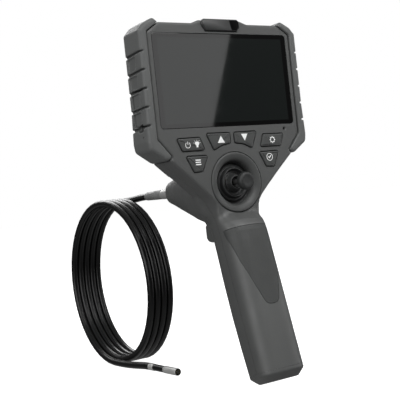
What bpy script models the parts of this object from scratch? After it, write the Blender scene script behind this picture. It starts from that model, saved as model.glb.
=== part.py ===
"""Handheld inspection camera: a screen, keys and joystick on a grip, and a steered probe on a coiled tube.

Run with: blender --background --python part.py

Lengths below are in millimetres, and new_object() turns them into the scene's metres. Every piece is
drawn in the screen's frame: its origin is the centre of the glass's front plane, +X is to the user's
right, +Y points away from the user, +Z is up. The empty screen_centre carries all of it, and stands
where it puts the scene's origin in the middle of the grip, where the hand holds it.
"""

import math

import bmesh
import bpy
from mathutils import Vector

MM = 0.001
GAP = 0.3  # between pieces that touch
LONG = 200.0  # a cutter that goes right through
NEARLY_STRAIGHT = math.radians(178.0)  # a corner as open as this needs no rounding

# Housing
WALL = 2.4
FRONT_WALL = 3.6
HEAD_DEPTH = 26.0
HEAD_TOP = 42.2
BROW_TOP = 44.6  # the head's top edge behind the badge
HEAD_HALF_WIDTH = 64.2
PARTING_Y = 12.5  # where the two shells meet, in the head

# Grip: a tilted column, measured along its axis from its middle, downwards
GRIP_MIDDLE = Vector((0.0, -12.3, -165.0))
GRIP_TILT = math.radians(15.3)
GRIP_SEAM = 50.0  # the shells end here and the base cap begins
GRIP_CHAMFER = 52.5
GRIP_END = 57.6
GRIP_SQUARENESS = 2.8  # exponent of the section's superellipse

# Screen
GLASS_WIDTH, GLASS_HEIGHT, GLASS_THICKNESS = 120.5, 69.0, 1.0
GLASS_TOP = 0.3  # how far the glass lies behind the bezel
PANEL_WIDTH, PANEL_HEIGHT, PANEL_THICKNESS = 116.0, 65.6, 3.6

# Keys
KEY_PROUD = 0.7
KEY_TRAVEL_ROOM = 1.8

# Joystick
JOYSTICK_Z = -76.2
JOYSTICK_PIVOT_Y = 10.0
RING_RADIUS = 22.3
WELL_RADIUS = 17.6

# Trigger
TRIGGER_Z = -112.2
TRIGGER_BACK = 41.0
TRIGGER_HALF = 6.0  # half of its width and of its height
TRIGGER_GUIDE = TRIGGER_HALF + 0.35  # half of the guide that it slides in

# Probe
PROBE_Z = -78.0
TUBE_RADIUS = 3.0
NOSE_END = 89.6
FERRULE_END = 108.3
SLEEVE_END = 135.5
COIL_CENTRE = Vector((0.0, 180.8, -150.4))
COIL_RADIUS = 70.8
COIL_X = (-25.6, 2.1)  # the last and first turns' centres
TIP_X, TIP_Z = -26.4, -220.2
BAND_ENDS = (107.5, 114.5)
NECK_START = 105.8
LINK_LENGTH = 4.1
LINK_GAP = 0.5
CAMERA_END = 70.2

CHARCOAL = (0.085, 0.088, 0.086)
GRAPHITE = (0.052, 0.056, 0.054)
RUBBER = (0.115, 0.120, 0.118)
BLACK = (0.010, 0.010, 0.011)
SILVER = (0.55, 0.55, 0.54)


# ---------------------------------------------------------------- scene and materials

def clear_scene():
    for item in list(bpy.data.objects):
        bpy.data.objects.remove(item, do_unlink=True)


def material(name, colour, roughness, metallic=0.0):
    found = bpy.data.materials.get(name)
    if found:
        return found
    made = bpy.data.materials.new(name)
    made.use_nodes = True
    shader = made.node_tree.nodes["Principled BSDF"]
    shader.inputs["Base Color"].default_value = (*colour, 1.0)
    shader.inputs["Roughness"].default_value = roughness
    shader.inputs["Metallic"].default_value = metallic
    made.diffuse_color = (*colour, 1.0)
    return made


def screen_centre():
    """The empty that carries every piece."""
    found = bpy.data.objects.get("screen_centre")
    if not found:
        found = bpy.data.objects.new("screen_centre", None)
        found.empty_display_size = 0.02
        found.location = -GRIP_MIDDLE * MM
        bpy.context.scene.collection.objects.link(found)
    return found


def new_object(name, mesh):
    """An object from a bmesh in millimetres, its faces turned outwards."""
    bmesh.ops.scale(mesh, vec=(MM, MM, MM), verts=mesh.verts)
    bmesh.ops.recalc_face_normals(mesh, faces=mesh.faces)
    data = bpy.data.meshes.new(name)
    mesh.to_mesh(data)
    mesh.free()
    made = bpy.data.objects.new(name, data)
    bpy.context.scene.collection.objects.link(made)
    return made


def finish(piece, look, pivot=(0.0, 0.0, 0.0), smooth_below=35.0):
    """Gives a piece its material, and puts its origin on pivot, the point that its joint turns about."""
    piece.data.materials.clear()
    piece.data.materials.append(look)
    for corner in piece.data.vertices:
        corner.co -= Vector(pivot) * MM
    piece.data.shade_smooth()
    piece.data.set_sharp_from_angle(angle=math.radians(smooth_below))
    piece.location = Vector(pivot) * MM
    piece.parent = screen_centre()
    return piece


# ---------------------------------------------------------------- outlines

def mirrored(half):
    """A closed outline from its right half, listed from top to bottom."""
    return list(half) + [(-u, v) for u, v in reversed(half) if abs(u) > 1e-6]


def middle_of(outline):
    """The mean of an outline's points."""
    return [sum(coordinate) / len(outline) for coordinate in zip(*outline)]


def circle(radius, count=24):
    return [
        (radius * math.cos(2 * math.pi * i / count), radius * math.sin(2 * math.pi * i / count))
        for i in range(count)
    ]


def rectangle(width, height, centre=(0.0, 0.0)):
    u, v = centre
    return [
        (u - width / 2, v - height / 2),
        (u + width / 2, v - height / 2),
        (u + width / 2, v + height / 2),
        (u - width / 2, v + height / 2),
    ]


def superellipse(half_width, front, rear, count=32, power=GRIP_SQUARENESS):
    """A rounded section whose front (v < 0) and rear depths may differ."""
    points = []
    for i in range(count):
        angle = 2 * math.pi * (i + 0.5) / count
        c, s = math.cos(angle), math.sin(angle)
        u = math.copysign(abs(c) ** (2 / power), c) * half_width
        v = math.copysign(abs(s) ** (2 / power), s) * (rear if s > 0 else front)
        points.append((u, v))
    return points


def offset(outline, distance):
    """The outline moved inwards by distance, or outwards where it is negative, with mitred corners."""
    count = len(outline)
    doubled = sum(
        outline[i][0] * outline[(i + 1) % count][1] - outline[(i + 1) % count][0] * outline[i][1]
        for i in range(count)
    )
    turn = math.copysign(1.0, doubled)
    moved = []
    for i in range(count):
        before = (Vector(outline[i]) - Vector(outline[i - 1])).normalized()
        after = (Vector(outline[(i + 1) % count]) - Vector(outline[i])).normalized()
        first = Vector((-before.y, before.x)) * turn
        second = Vector((-after.y, after.x)) * turn
        middle = (first + second).normalized()
        corner = Vector(outline[i]) + middle * (distance / middle.dot(first))
        moved.append((corner.x, corner.y))
    return moved


def rounded(outline, radius, steps=3):
    """The outline with each corner replaced by an arc of the radius, or of less on a short side."""
    count = len(outline)
    points = []
    for i in range(count):
        corner = Vector(outline[i])
        back = Vector(outline[i - 1]) - corner
        ahead = Vector(outline[(i + 1) % count]) - corner
        opening = back.angle(ahead)
        if opening > NEARLY_STRAIGHT:
            points.append(outline[i])
            continue
        reach = min(radius / math.tan(opening / 2), 0.45 * back.length, 0.45 * ahead.length)
        start = corner + back.normalized() * reach
        end = corner + ahead.normalized() * reach
        for k in range(steps + 1):
            t = k / steps
            bow = (1 - t) ** 2 * start + 2 * t * (1 - t) * corner + t**2 * end
            points.append((bow.x, bow.y))
    return points


# ---------------------------------------------------------------- solids

def on_axis(axis, centre, u, v, h):
    """The point at (u, v) across an axis and h along it."""
    across = {"X": (h, u, v), "Y": (u, h, v), "Z": (u, v, h)}[axis]
    return Vector(centre) + Vector(across)


def grip_point(u, v, t):
    """The point at u across the grip, v behind its axis and t down it."""
    rearwards = Vector((0.0, math.cos(GRIP_TILT), -math.sin(GRIP_TILT)))
    downwards = Vector((0.0, -math.sin(GRIP_TILT), -math.cos(GRIP_TILT)))
    return GRIP_MIDDLE + Vector((u, 0.0, 0.0)) + rearwards * v + downwards * t


def skinned(name, rings):
    """A closed body through rings of points, with a face over its first ring and its last."""
    mesh = bmesh.new()
    loops = [[mesh.verts.new(point) for point in ring] for ring in rings]
    for first, second in zip(loops, loops[1:]):
        for i, corner in enumerate(first):
            j = (i + 1) % len(first)
            mesh.faces.new((corner, first[j], second[j], second[i]))
    mesh.faces.new(loops[0])
    mesh.faces.new(loops[-1])
    return new_object(name, mesh)


def prism(name, outline, stations, axis="Y", centre=(0.0, 0.0, 0.0)):
    """An outline carried along an axis, through stations of (height, inset)."""
    return skinned(name, [
        [on_axis(axis, centre, u, v, height) for u, v in offset(outline, inset)]
        for height, inset in stations
    ])


def block(name, low, high, bevel=0.0):
    """A box between two corners, its edges bevelled."""
    mesh = bmesh.new()
    bmesh.ops.create_cube(mesh, size=1.0)
    for corner in mesh.verts:
        corner.co = [
            low[k] if corner.co[k] < 0 else high[k]
            for k in range(3)
        ]
    if bevel:
        bmesh.ops.bevel(mesh, geom=mesh.edges[:], offset=bevel, segments=2, profile=0.5, affect="EDGES")
    return new_object(name, mesh)


def turned(name, profile, axis="Y", centre=(0.0, 0.0, 0.0), count=24):
    """A body turned about an axis from a profile of (height, radius), flat at both ends."""
    return skinned(name, [
        [on_axis(axis, centre, u, v, height) for u, v in circle(radius, count)]
        for height, radius in profile
    ])


def turned_ring(name, profile, axis="Y", centre=(0.0, 0.0, 0.0), count=32):
    """A ring turned about an axis from a closed profile of (height, radius)."""
    mesh = bmesh.new()
    loops = [
        [
            mesh.verts.new(on_axis(axis, centre, radius * u, radius * v, height))
            for height, radius in profile
        ]
        for u, v in circle(1.0, count)
    ]
    for k, loop in enumerate(loops):
        beside = loops[(k + 1) % count]
        for i, corner in enumerate(loop):
            j = (i + 1) % len(loop)
            mesh.faces.new((corner, loop[j], beside[j], beside[i]))
    return new_object(name, mesh)


def combine(base, operation, *tools):
    """The base after a Boolean with each tool in turn. The tools are used up."""
    for tool in tools:
        step = base.modifiers.new(operation.title(), "BOOLEAN")
        step.operation = operation
        step.object = tool
    bpy.context.view_layer.update()
    graph = bpy.context.evaluated_depsgraph_get()
    result = bpy.data.meshes.new_from_object(base.evaluated_get(graph))
    base.modifiers.clear()
    base.data = result
    for tool in tools:
        bpy.data.objects.remove(tool, do_unlink=True)
    return base


# ---------------------------------------------------------------- housing

HEAD_OUTLINE = mirrored([
    (0.0, BROW_TOP), (18.5, BROW_TOP), (25.0, HEAD_TOP), (53.4, HEAD_TOP), (HEAD_HALF_WIDTH, 34.9),
    (HEAD_HALF_WIDTH, -41.9), (53.0, -55.0), (55.9, -57.1), (42.0, -69.2), (30.8, -79.4), (23.0, -86.9),
    (19.9, -91.0), (19.3, -95.0), (20.0, -100.5), (0.0, -100.5),
])

GRIP_SECTIONS = [  # distance down the grip, half-width, depth in front of the axis, depth behind it
    (-75.0, 18.6, 5.0, 20.0),
    (-68.0, 18.6, 5.6, 20.0),
    (-64.0, 18.8, 9.5, 20.0),
    (-60.0, 18.8, 13.6, 20.0),
    (-56.0, 18.6, 15.6, 19.9),
    (-51.0, 18.4, 16.7, 19.9),
    (-44.0, 18.4, 16.8, 20.3),
    (-20.0, 18.4, 16.0, 21.9),
    (5.0, 18.4, 15.2, 22.4),
    (30.0, 18.4, 14.4, 21.5),
    (GRIP_CHAMFER, 18.4, 13.8, 19.8),
    (GRIP_END, 13.5, 8.9, 14.9),
]

NOSE_SECTIONS = [  # distance from the front, half-width, top, bottom
    (18.0, 26.0, -50.0, -105.0),
    (39.5, 21.4, -55.8, -104.6),
    (44.0, 20.4, -57.0, -102.6),
    (64.0, 17.0, -62.5, -95.2),
    (78.0, 12.6, -66.2, -90.6),
    (86.0, 10.3, -67.8, -88.3),
    (88.6, 9.6, -68.4, -87.6),
    (NOSE_END, 8.2, -69.8, -86.2),
]
NOSE_CAVITY_END = 83.5


def grip_column(name, inset, start, end):
    """The grip's column with its skin moved inwards by inset, from one distance down it to another."""
    def section(t):
        for low, high in zip(GRIP_SECTIONS, GRIP_SECTIONS[1:]):
            if t <= high[0]:
                share = (t - low[0]) / (high[0] - low[0])
                return [a + (b - a) * share for a, b in zip(low[1:], high[1:])]
        return GRIP_SECTIONS[-1][1:]

    stations = [start] + [row[0] for row in GRIP_SECTIONS if start < row[0] < end] + [end]
    rings = []
    for t in stations:
        half_width, front, rear = (size - inset for size in section(t))
        rings.append([grip_point(u, v, t) for u, v in superellipse(half_width, front, rear)])
    return skinned(name, rings)


def nose_cone(name, inset, end):
    rings = []
    for y, half_width, top, bottom in NOSE_SECTIONS:
        if y > end:
            continue
        centre_z = (top + bottom) / 2
        half_height = (top - bottom) / 2 - inset
        outline = superellipse(half_width - inset, half_height, half_height, power=2.3)
        rings.append([Vector((u, y, centre_z + v)) for u, v in outline])
    last = rings[-1]
    if end > last[0].y:
        rings.append([Vector((p.x, end, p.z)) for p in last])
    return skinned(name, rings)


def trigger_pod(name):
    outline = rounded(rectangle(17.0, 19.6, (0.0, -110.2)), 4.0)
    return prism(name, outline, [(6.0, 0.0), (29.6, 0.0), (31.0, 1.2)])


def housing_shell():
    """The whole housing, hollow, before it is split into its two shells."""
    shell = prism("housing", HEAD_OUTLINE, [(0.0, 0.6), (0.7, 0.0), (24.0, 0.0), (HEAD_DEPTH, 2.0)])
    combine(
        shell, "UNION",
        nose_cone("nose", 0.0, NOSE_END),
        grip_column("grip", 0.0, -75.0, GRIP_SEAM - GAP / 2),
        trigger_pod("pod"),
    )
    hollow = prism(
        "hollow", offset(HEAD_OUTLINE, WALL),
        [(FRONT_WALL, 0.0), (HEAD_DEPTH - WALL - 1.0, 0.0), (HEAD_DEPTH - WALL, 1.0)],
    )
    combine(
        hollow, "UNION",
        nose_cone("nose_hollow", WALL, NOSE_CAVITY_END),
        grip_column("grip_hollow", WALL, -73.0, GRIP_SEAM + 8.0),
    )
    return combine(shell, "DIFFERENCE", hollow)


def parting_region(name, front):
    """Everything in front of, or behind, the surface where the shells meet."""
    shift = -GAP / 2 if front else GAP / 2
    top = grip_point(0.0, 0.0, -62.0)
    bottom = grip_point(0.0, 0.0, 90.0)
    line = [
        (PARTING_Y + shift, 80.0), (PARTING_Y + shift, -92.0),
        (top.y + shift, top.z), (bottom.y + shift, bottom.z),
    ]
    far = -LONG if front else LONG
    outline = line + [(far, bottom.z), (far, 80.0)]
    return prism(name, outline, [(-LONG, 0.0), (LONG, 0.0)], axis="X")


HEAD_SCREWS = [(50.0, 35.9), (-50.0, 35.9), (58.0, -37.6), (-58.0, -37.6)]
# distance down the grip, depth in front, depth behind
GRIP_SCREWS = [(-41.0, 16.7, 20.4), (40.0, 14.1, 20.8)]
POST_RADIUS = 2.8
SCREW_SHANK = 1.2
SCREW_HEAD = 2.5
SCREW_HEAD_DEPTH = 2.2  # how deep the head lies in its counterbore


def post(name, point, low, high, radius, count=16):
    """A round post or cutter, where point(u, v, h) gives its own place in space."""
    return skinned(name, [[point(u, v, h) for u, v in circle(radius, count)] for h in (low, high)])


def screw_places():
    """For each screw: its point function, and the heights of the outer skin behind and in front."""
    places = [
        (lambda u, v, h, x=x, z=z: Vector((x + u, h, z + v)), HEAD_DEPTH, FRONT_WALL, PARTING_Y)
        for x, z in HEAD_SCREWS
    ]
    places += [
        (lambda u, v, h, t=t: grip_point(u, h, t + v), behind, WALL - before, 0.0)
        for t, before, behind in GRIP_SCREWS
    ]
    return places


def add_screw_posts(front, rear):
    for point, back, inner_front, parting in screw_places():
        combine(
            front, "UNION",
            post("front_post", point, inner_front - 0.4, parting - GAP / 2, POST_RADIUS),
        )
        combine(
            front, "DIFFERENCE",
            post("pilot", point, inner_front + 1.5, parting + 5.0, SCREW_SHANK + GAP),
        )
        combine(
            rear, "UNION",
            post("rear_post", point, parting + GAP / 2, back - 1.0, POST_RADIUS + 0.6),
        )
        combine(
            rear, "DIFFERENCE",
            post("clearance", point, parting - 5.0, back + 5.0, SCREW_SHANK + GAP),
            post("counterbore", point, back - SCREW_HEAD_DEPTH - 0.8 - GAP, back + 5.0, SCREW_HEAD + GAP),
        )


def case_screws():
    steel = material("black_steel", (0.05, 0.05, 0.05), 0.35, 0.9)
    for number, (point, back, inner_front, _) in enumerate(screw_places(), start=1):
        head_low = back - SCREW_HEAD_DEPTH - 0.8
        rings = [
            [point(u, v, h) for u, v in circle(radius, 16)]
            for h, radius in (
                (inner_front + 3.0, SCREW_SHANK), (head_low, SCREW_SHANK), (head_low, SCREW_HEAD),
                (head_low + 1.6, SCREW_HEAD - 0.2),
            )
        ]
        screw = skinned(f"case_screw_{number}", rings)
        socket = post("socket", point, head_low + 0.7, head_low + 5.0, 1.1, count=6)
        finish(combine(screw, "DIFFERENCE", socket), steel)


BADGE_OUTLINE = [(-13.8, 36.2), (14.2, 36.2), (17.0, 39.6), (17.0, 43.8), (15.2, 45.4), (-14.8, 45.4),
                 (-17.2, 43.2), (-17.2, 41.0)]

INLAY_OUTLINE = mirrored([
    (0.0, -54.5), (17.6, -54.5), (17.6, -48.0), (14.6, -36.0), (9.6, -18.0), (6.6, -6.0), (4.0, 1.2),
    (0.0, 4.5),
])
INLAY_THICKNESS = 1.4

KEY_OUTLINES = {
    "key_power": [(-48.4, -42.0), (-28.8, -41.8), (-25.5, -51.1), (-44.5, -51.2)],
    "key_menu": [(-42.0, -55.0), (-23.7, -55.2), (-29.2, -66.3), (-36.3, -66.8)],
    "key_up": [(-22.7, -39.2), (-2.0, -39.4), (-2.0, -47.0), (-10.0, -48.3), (-17.4, -51.6)],
}
MIRRORED_KEYS = {"key_settings": "key_power", "key_ok": "key_menu", "key_down": "key_up"}
LIGHT_SENSOR = (50.3, -38.2)


def key_outline(name):
    source = MIRRORED_KEYS.get(name)
    if source:
        return [(-u, v) for u, v in reversed(KEY_OUTLINES[source])]
    return KEY_OUTLINES[name]


KEY_NAMES = list(KEY_OUTLINES) + list(MIRRORED_KEYS)

PORT_Z = (-30.4, -5.2)
PORT_Y = (6.4, 18.6)
USB_Z, CARD_Z = (-28.6, -19.6), (-17.6, -6.0)
USB_Y, CARD_Y = (11.4, 14.7), (11.4, 13.2)


def inlay_prism(name, margin):
    """The inlay's outline, carried forwards out of the grip."""
    outline = offset(rounded(INLAY_OUTLINE, 3.0, steps=2), -margin)
    return skinned(name, [[grip_point(u, v, t) for u, t in outline] for v in (-30.0, -2.0)])


def port_slots():
    """Cutters for the two sockets' slots in the left wall."""
    slots = []
    for (low_y, high_y), (low_z, high_z) in ((USB_Y, USB_Z), (CARD_Y, CARD_Z)):
        slots.append(block(
            "port_slot", (-70.0, low_y - GAP, low_z - GAP), (-55.0, high_y + GAP, high_z + GAP),
        ))
    return slots


def housing():
    """The two shells of the clamshell, with everything that is cut in them."""
    plastic = material("charcoal_plastic", CHARCOAL, 0.55)
    front = housing_shell()
    front.name = "front_shell"
    rear = front.copy()
    rear.data = front.data.copy()
    rear.name = "rear_shell"
    bpy.context.scene.collection.objects.link(rear)
    combine(front, "INTERSECT", parting_region("front_region", True))
    combine(rear, "INTERSECT", parting_region("rear_region", False))

    glass = rectangle(GLASS_WIDTH + 2 * GAP, GLASS_HEIGHT + 2 * GAP)
    combine(
        front, "DIFFERENCE",
        prism("glass_recess", rounded(glass, 3.0), [(-10.0, 0.0), (2.3, 0.0)]),
        prism("window", rectangle(113.0, 64.0), [(0.0, 0.0), (9.0, 0.0)]),
        prism("badge_recess", offset(BADGE_OUTLINE, -GAP), [(-10.0, 0.0), (3.0, 0.0)]),
        turned("ring_recess", [(-40.0, RING_RADIUS + GAP), (1.8, RING_RADIUS + GAP)],
               centre=(0.0, 0.0, JOYSTICK_Z), count=40),
        turned("well", [(0.0, WELL_RADIUS + GAP), (12.0, WELL_RADIUS + GAP)],
               centre=(0.0, 0.0, JOYSTICK_Z), count=32),
        turned("sensor_hole", [(-10.0, 1.2), (12.0, 1.2)],
               centre=(LIGHT_SENSOR[0], 0.0, LIGHT_SENSOR[1]), count=12),
    )
    for name in KEY_NAMES:
        hole = prism("key_hole", offset(rounded(key_outline(name), 1.0, 2), -GAP), [(-10.0, 0.0), (9.0, 0.0)])
        combine(front, "DIFFERENCE", hole)
    pocket = combine(
        inlay_prism("inlay_pocket", GAP), "DIFFERENCE",
        grip_column("inlay_floor", INLAY_THICKNESS + GAP, -66.0, 30.0),
    )
    combine(front, "DIFFERENCE", pocket, *port_slots())
    combine(
        rear, "DIFFERENCE",
        turned("ferrule_hole", [(77.0, 4.5), (120.0, 4.5)], centre=(0.0, 0.0, PROBE_Z), count=20),
        block("trigger_guide", (-TRIGGER_GUIDE, -5.0, TRIGGER_Z - TRIGGER_GUIDE),
              (TRIGGER_GUIDE, 60.0, TRIGGER_Z + TRIGGER_GUIDE)),
        *port_slots(),
    )
    add_screw_posts(front, rear)
    finish(front, plastic)
    finish(rear, plastic)


def grip_pieces():
    inlay = combine(
        inlay_prism("grip_inlay", 0.0), "INTERSECT",
        grip_column("inlay_skin", 0.0, -66.0, 30.0),
    )
    combine(inlay, "DIFFERENCE", grip_column("inlay_floor", INLAY_THICKNESS, -68.0, 32.0))
    finish(inlay, material("grip_rubber", GRAPHITE, 0.75))

    cap = grip_column("base_cap", 0.0, GRIP_SEAM + GAP / 2, GRIP_END)
    finish(cap, material("charcoal_plastic", CHARCOAL, 0.55))


# ---------------------------------------------------------------- side bumpers

BUMPER_OUTLINE = mirrored([
    (0.0, 36.0), (50.0, 39.4), (57.6, 45.3), (66.0, 41.0), (70.7, 35.8), (70.7, -20.0), (71.7, -43.0),
    (70.8, -48.9), (57.4, -58.0), (48.0, -50.6), (0.0, -45.0),
])
GROOVES_Z = [21.8 - 13.18 * k for k in range(5)]
PORT_COVER_X = (-70.5, -67.0)


def bumper(side):
    name = "right_bumper" if side > 0 else "left_bumper"
    guard = prism(name, BUMPER_OUTLINE, [(-0.9, 2.4), (0.9, 0.0), (21.5, 0.0), (24.4, 2.8)])
    core = prism("core", offset(HEAD_OUTLINE, -GAP), [(-20.0, 0.0), (60.0, 0.0)])
    other_half = block("other_half", (-LONG * side, -LONG, -LONG), (40.0 * side, LONG, LONG))
    combine(guard, "DIFFERENCE", core, other_half)
    for z in GROOVES_Z:
        groove = block("groove", (69.3 * side, -5.0, z - 0.7), (80.0 * side, 40.0, z + 0.7))
        combine(guard, "DIFFERENCE", groove)
    if side < 0:
        combine(
            guard, "DIFFERENCE",
            block("port_window", (-80.0, PORT_Y[0] - GAP, PORT_Z[0] - GAP),
                  (-60.0, PORT_Y[1] + GAP, PORT_Z[1] + GAP)),
            block("finger_notch", (-80.0, 8.0, -35.6), (-67.4, 14.0, -30.0)),
            turned("reset_hole", [(-80.0, 0.6), (-68.0, 0.6)], axis="X", centre=(0.0, 6.0, -39.2), count=8),
        )
    finish(guard, material("bumper_rubber", RUBBER, 0.7))


def port_cover():
    """A rubber flap that hangs on its top edge, where its hinge line is."""
    outer, inner = PORT_COVER_X
    flap = block(
        "port_cover", (outer, PORT_Y[0] + 0.05, PORT_Z[0] + 0.05),
        (inner, PORT_Y[1] - 0.05, PORT_Z[1] - 0.3),
    )
    for z in GROOVES_Z[3:]:
        combine(flap, "DIFFERENCE", block("groove", (-80.0, -5.0, z - 0.7), (-69.3, 40.0, z + 0.7)))
    finish(flap, material("bumper_rubber", RUBBER, 0.7), pivot=(outer, 12.5, PORT_Z[1] - 0.3))


# ---------------------------------------------------------------- screen and keys

def screen():
    glass = prism(
        "screen_glass", rounded(rectangle(GLASS_WIDTH, GLASS_HEIGHT), 3.0),
        [(GLASS_TOP, 0.2), (GLASS_TOP + 0.2, 0.0), (GLASS_TOP + GLASS_THICKNESS, 0.0)],
    )
    finish(glass, material("screen_glass", BLACK, 0.05))
    top = GLASS_TOP + GLASS_THICKNESS + GAP
    gasket = prism("screen_gasket", rectangle(119.0, 68.0), [(top, 0.0), (top + 0.4, 0.0)])
    combine(gasket, "DIFFERENCE", prism("opening", rectangle(112.6, 63.6), [(0.0, 0.0), (9.0, 0.0)]))
    finish(gasket, material("gasket_foam", BLACK, 0.9))
    panel_top = FRONT_WALL + GAP
    panel = block(
        "display_panel", (-PANEL_WIDTH / 2, panel_top, -PANEL_HEIGHT / 2),
        (PANEL_WIDTH / 2, panel_top + PANEL_THICKNESS, PANEL_HEIGHT / 2),
    )
    finish(panel, material("display_panel", (0.02, 0.022, 0.022), 0.3))
    sensor = turned(
        "light_sensor", [(0.5, 0.9), (7.0, 0.9)], centre=(LIGHT_SENSOR[0], 0.0, LIGHT_SENSOR[1]), count=12,
    )
    finish(sensor, material("sensor_window", BLACK, 0.1))


def keys():
    """Hard keys with a flange behind the front wall, and the board of switch domes behind them."""
    rubber = material("key_plastic", GRAPHITE, 0.6)
    flange_top = FRONT_WALL + GAP
    for name in KEY_NAMES:
        outline = rounded(key_outline(name), 1.0, 2)
        cap = prism(name, outline, [(-KEY_PROUD, 0.5), (0.3 - KEY_PROUD, 0.0), (flange_top + 1.0, 0.0)])
        flange = prism("flange", offset(outline, -0.8), [(flange_top, 0.0), (flange_top + 0.9, 0.0)])
        combine(cap, "UNION", flange)
        x, z = middle_of(outline)
        finish(cap, rubber, pivot=(x, 0.0, z))

    board_top = flange_top + 1.0 + KEY_TRAVEL_ROOM + 0.6
    board = prism(
        "keypad_board", mirrored([(47.0, -36.5), (47.0, -52.0), (34.0, -66.0)]),
        [(board_top, 0.0), (board_top + 1.2, 0.0)],
    )
    combine(
        board, "DIFFERENCE",
        turned("joystick_room", [(0.0, 21.0), (20.0, 21.0)], centre=(0.0, 0.0, JOYSTICK_Z), count=30),
    )
    for name in KEY_NAMES:
        x, z = middle_of(key_outline(name))
        dome = turned("dome", [(board_top - 0.6, 1.6), (board_top + 0.6, 2.4)], centre=(x, 0.0, z), count=12)
        combine(board, "UNION", dome)
    finish(board, material("circuit_board", (0.01, 0.10, 0.03), 0.5))


# ---------------------------------------------------------------- joystick

def joystick():
    centre = (0.0, 0.0, JOYSTICK_Z)
    pivot = (0.0, JOYSTICK_PIVOT_Y, JOYSTICK_Z)
    plastic = material("charcoal_plastic", CHARCOAL, 0.55)
    boot_rubber = material("boot_rubber", (0.02, 0.021, 0.021), 0.6)
    ring = turned_ring("joystick_ring", [
        (-0.6, RING_RADIUS - 0.5), (-0.1, RING_RADIUS), (1.5, RING_RADIUS), (1.5, WELL_RADIUS),
        (9.0, WELL_RADIUS), (9.0, 16.4), (1.6, 16.6), (0.0, 18.4), (-0.6, 20.6),
    ], centre=centre, count=40)
    finish(ring, plastic)
    boot = turned_ring("joystick_boot", [
        (6.8, 16.1), (6.2, 14.5), (3.0, 12.2), (2.3, 11.0), (3.0, 9.8), (4.4, 7.4),
        (5.2, 7.4), (3.9, 9.9), (3.2, 11.0), (3.8, 11.8), (7.1, 14.0), (7.7, 16.1),
    ], centre=centre)
    finish(boot, boot_rubber)
    collar = turned_ring("joystick_collar", [
        (3.4, 6.9), (2.4, 6.2), (0.3, 5.2), (0.2, 4.0), (1.6, 2.2), (2.4, 2.2), (1.0, 4.2), (1.1, 5.0),
        (3.0, 5.7), (4.2, 6.9),
    ], centre=centre, count=24)
    finish(collar, boot_rubber, pivot=pivot)
    stick = turned("joystick_stick", [(-9.7, 1.9), (13.5, 1.9)], centre=centre, count=16)
    finish(stick, material("stick_nylon", (0.03, 0.03, 0.03), 0.4), pivot=pivot)
    knob = turned("joystick_knob", [
        (-13.6, 3.6), (-14.3, 4.6), (-14.1, 5.6), (-13.0, 6.3), (-9.5, 6.3), (-7.0, 5.2), (-6.2, 4.2),
        (-6.2, 2.2), (-10.0, 2.2),
    ], centre=centre, count=24)
    finish(knob, material("knob_rubber", GRAPHITE, 0.65), pivot=pivot)

    low_y, high_y = JOYSTICK_PIVOT_Y - 2.5, JOYSTICK_PIVOT_Y + 2.5
    yoke = block("joystick_yoke", (-6.9, low_y, JOYSTICK_Z - 5.2), (6.9, high_y, JOYSTICK_Z + 5.2))
    trunnions = turned("trunnions", [(-9.2, 1.0), (9.2, 1.0)], axis="X", centre=pivot, count=12)
    combine(yoke, "UNION", trunnions)
    combine(yoke, "DIFFERENCE", block(
        "slot", (-4.6, 0.0, JOYSTICK_Z - 2.3), (4.6, 20.0, JOYSTICK_Z + 2.3),
    ))
    finish(yoke, material("gimbal_plastic", (0.6, 0.6, 0.58), 0.5), pivot=pivot)

    base = block("joystick_base", (-11.0, 8.4, JOYSTICK_Z - 8.8), (11.0, 17.0, JOYSTICK_Z + 8.8))
    combine(
        base, "DIFFERENCE",
        block("room", (-7.5, 0.0, JOYSTICK_Z - 6.4), (7.5, 15.2, JOYSTICK_Z + 6.4)),
        turned("bearing", [(-9.5, 1.3), (9.5, 1.3)], axis="X", centre=pivot, count=12),
    )
    finish(base, material("gimbal_base", BLACK, 0.5))


# ---------------------------------------------------------------- trigger

def trigger():
    half, guide = TRIGGER_HALF, TRIGGER_GUIDE
    button = block("trigger", (-half, 16.0, TRIGGER_Z - half), (half, TRIGGER_BACK, TRIGGER_Z + half), bevel=2.0)
    finish(button, material("key_plastic", GRAPHITE, 0.6), pivot=(0.0, 16.0, TRIGGER_Z))
    outline = rounded(rectangle(16.0, 14.0, (0.0, TRIGGER_Z)), 3.5)
    seal = prism("trigger_seal", outline, [(31.3, 0.0), (32.6, 0.0), (33.0, 0.4)])
    combine(seal, "DIFFERENCE", block(
        "opening", (-guide, 20.0, TRIGGER_Z - guide), (guide, 50.0, TRIGGER_Z + guide),
    ))
    finish(seal, material("boot_rubber", (0.02, 0.021, 0.021), 0.6))
    switch = block("trigger_switch", (-3.2, 6.0, TRIGGER_Z - 3.0), (3.2, 12.6, TRIGGER_Z + 3.0))
    finish(switch, material("switch_body", BLACK, 0.5))


# ---------------------------------------------------------------- inside

DRUM_AXIS = (0.0, 48.0, -80.0)


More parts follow.
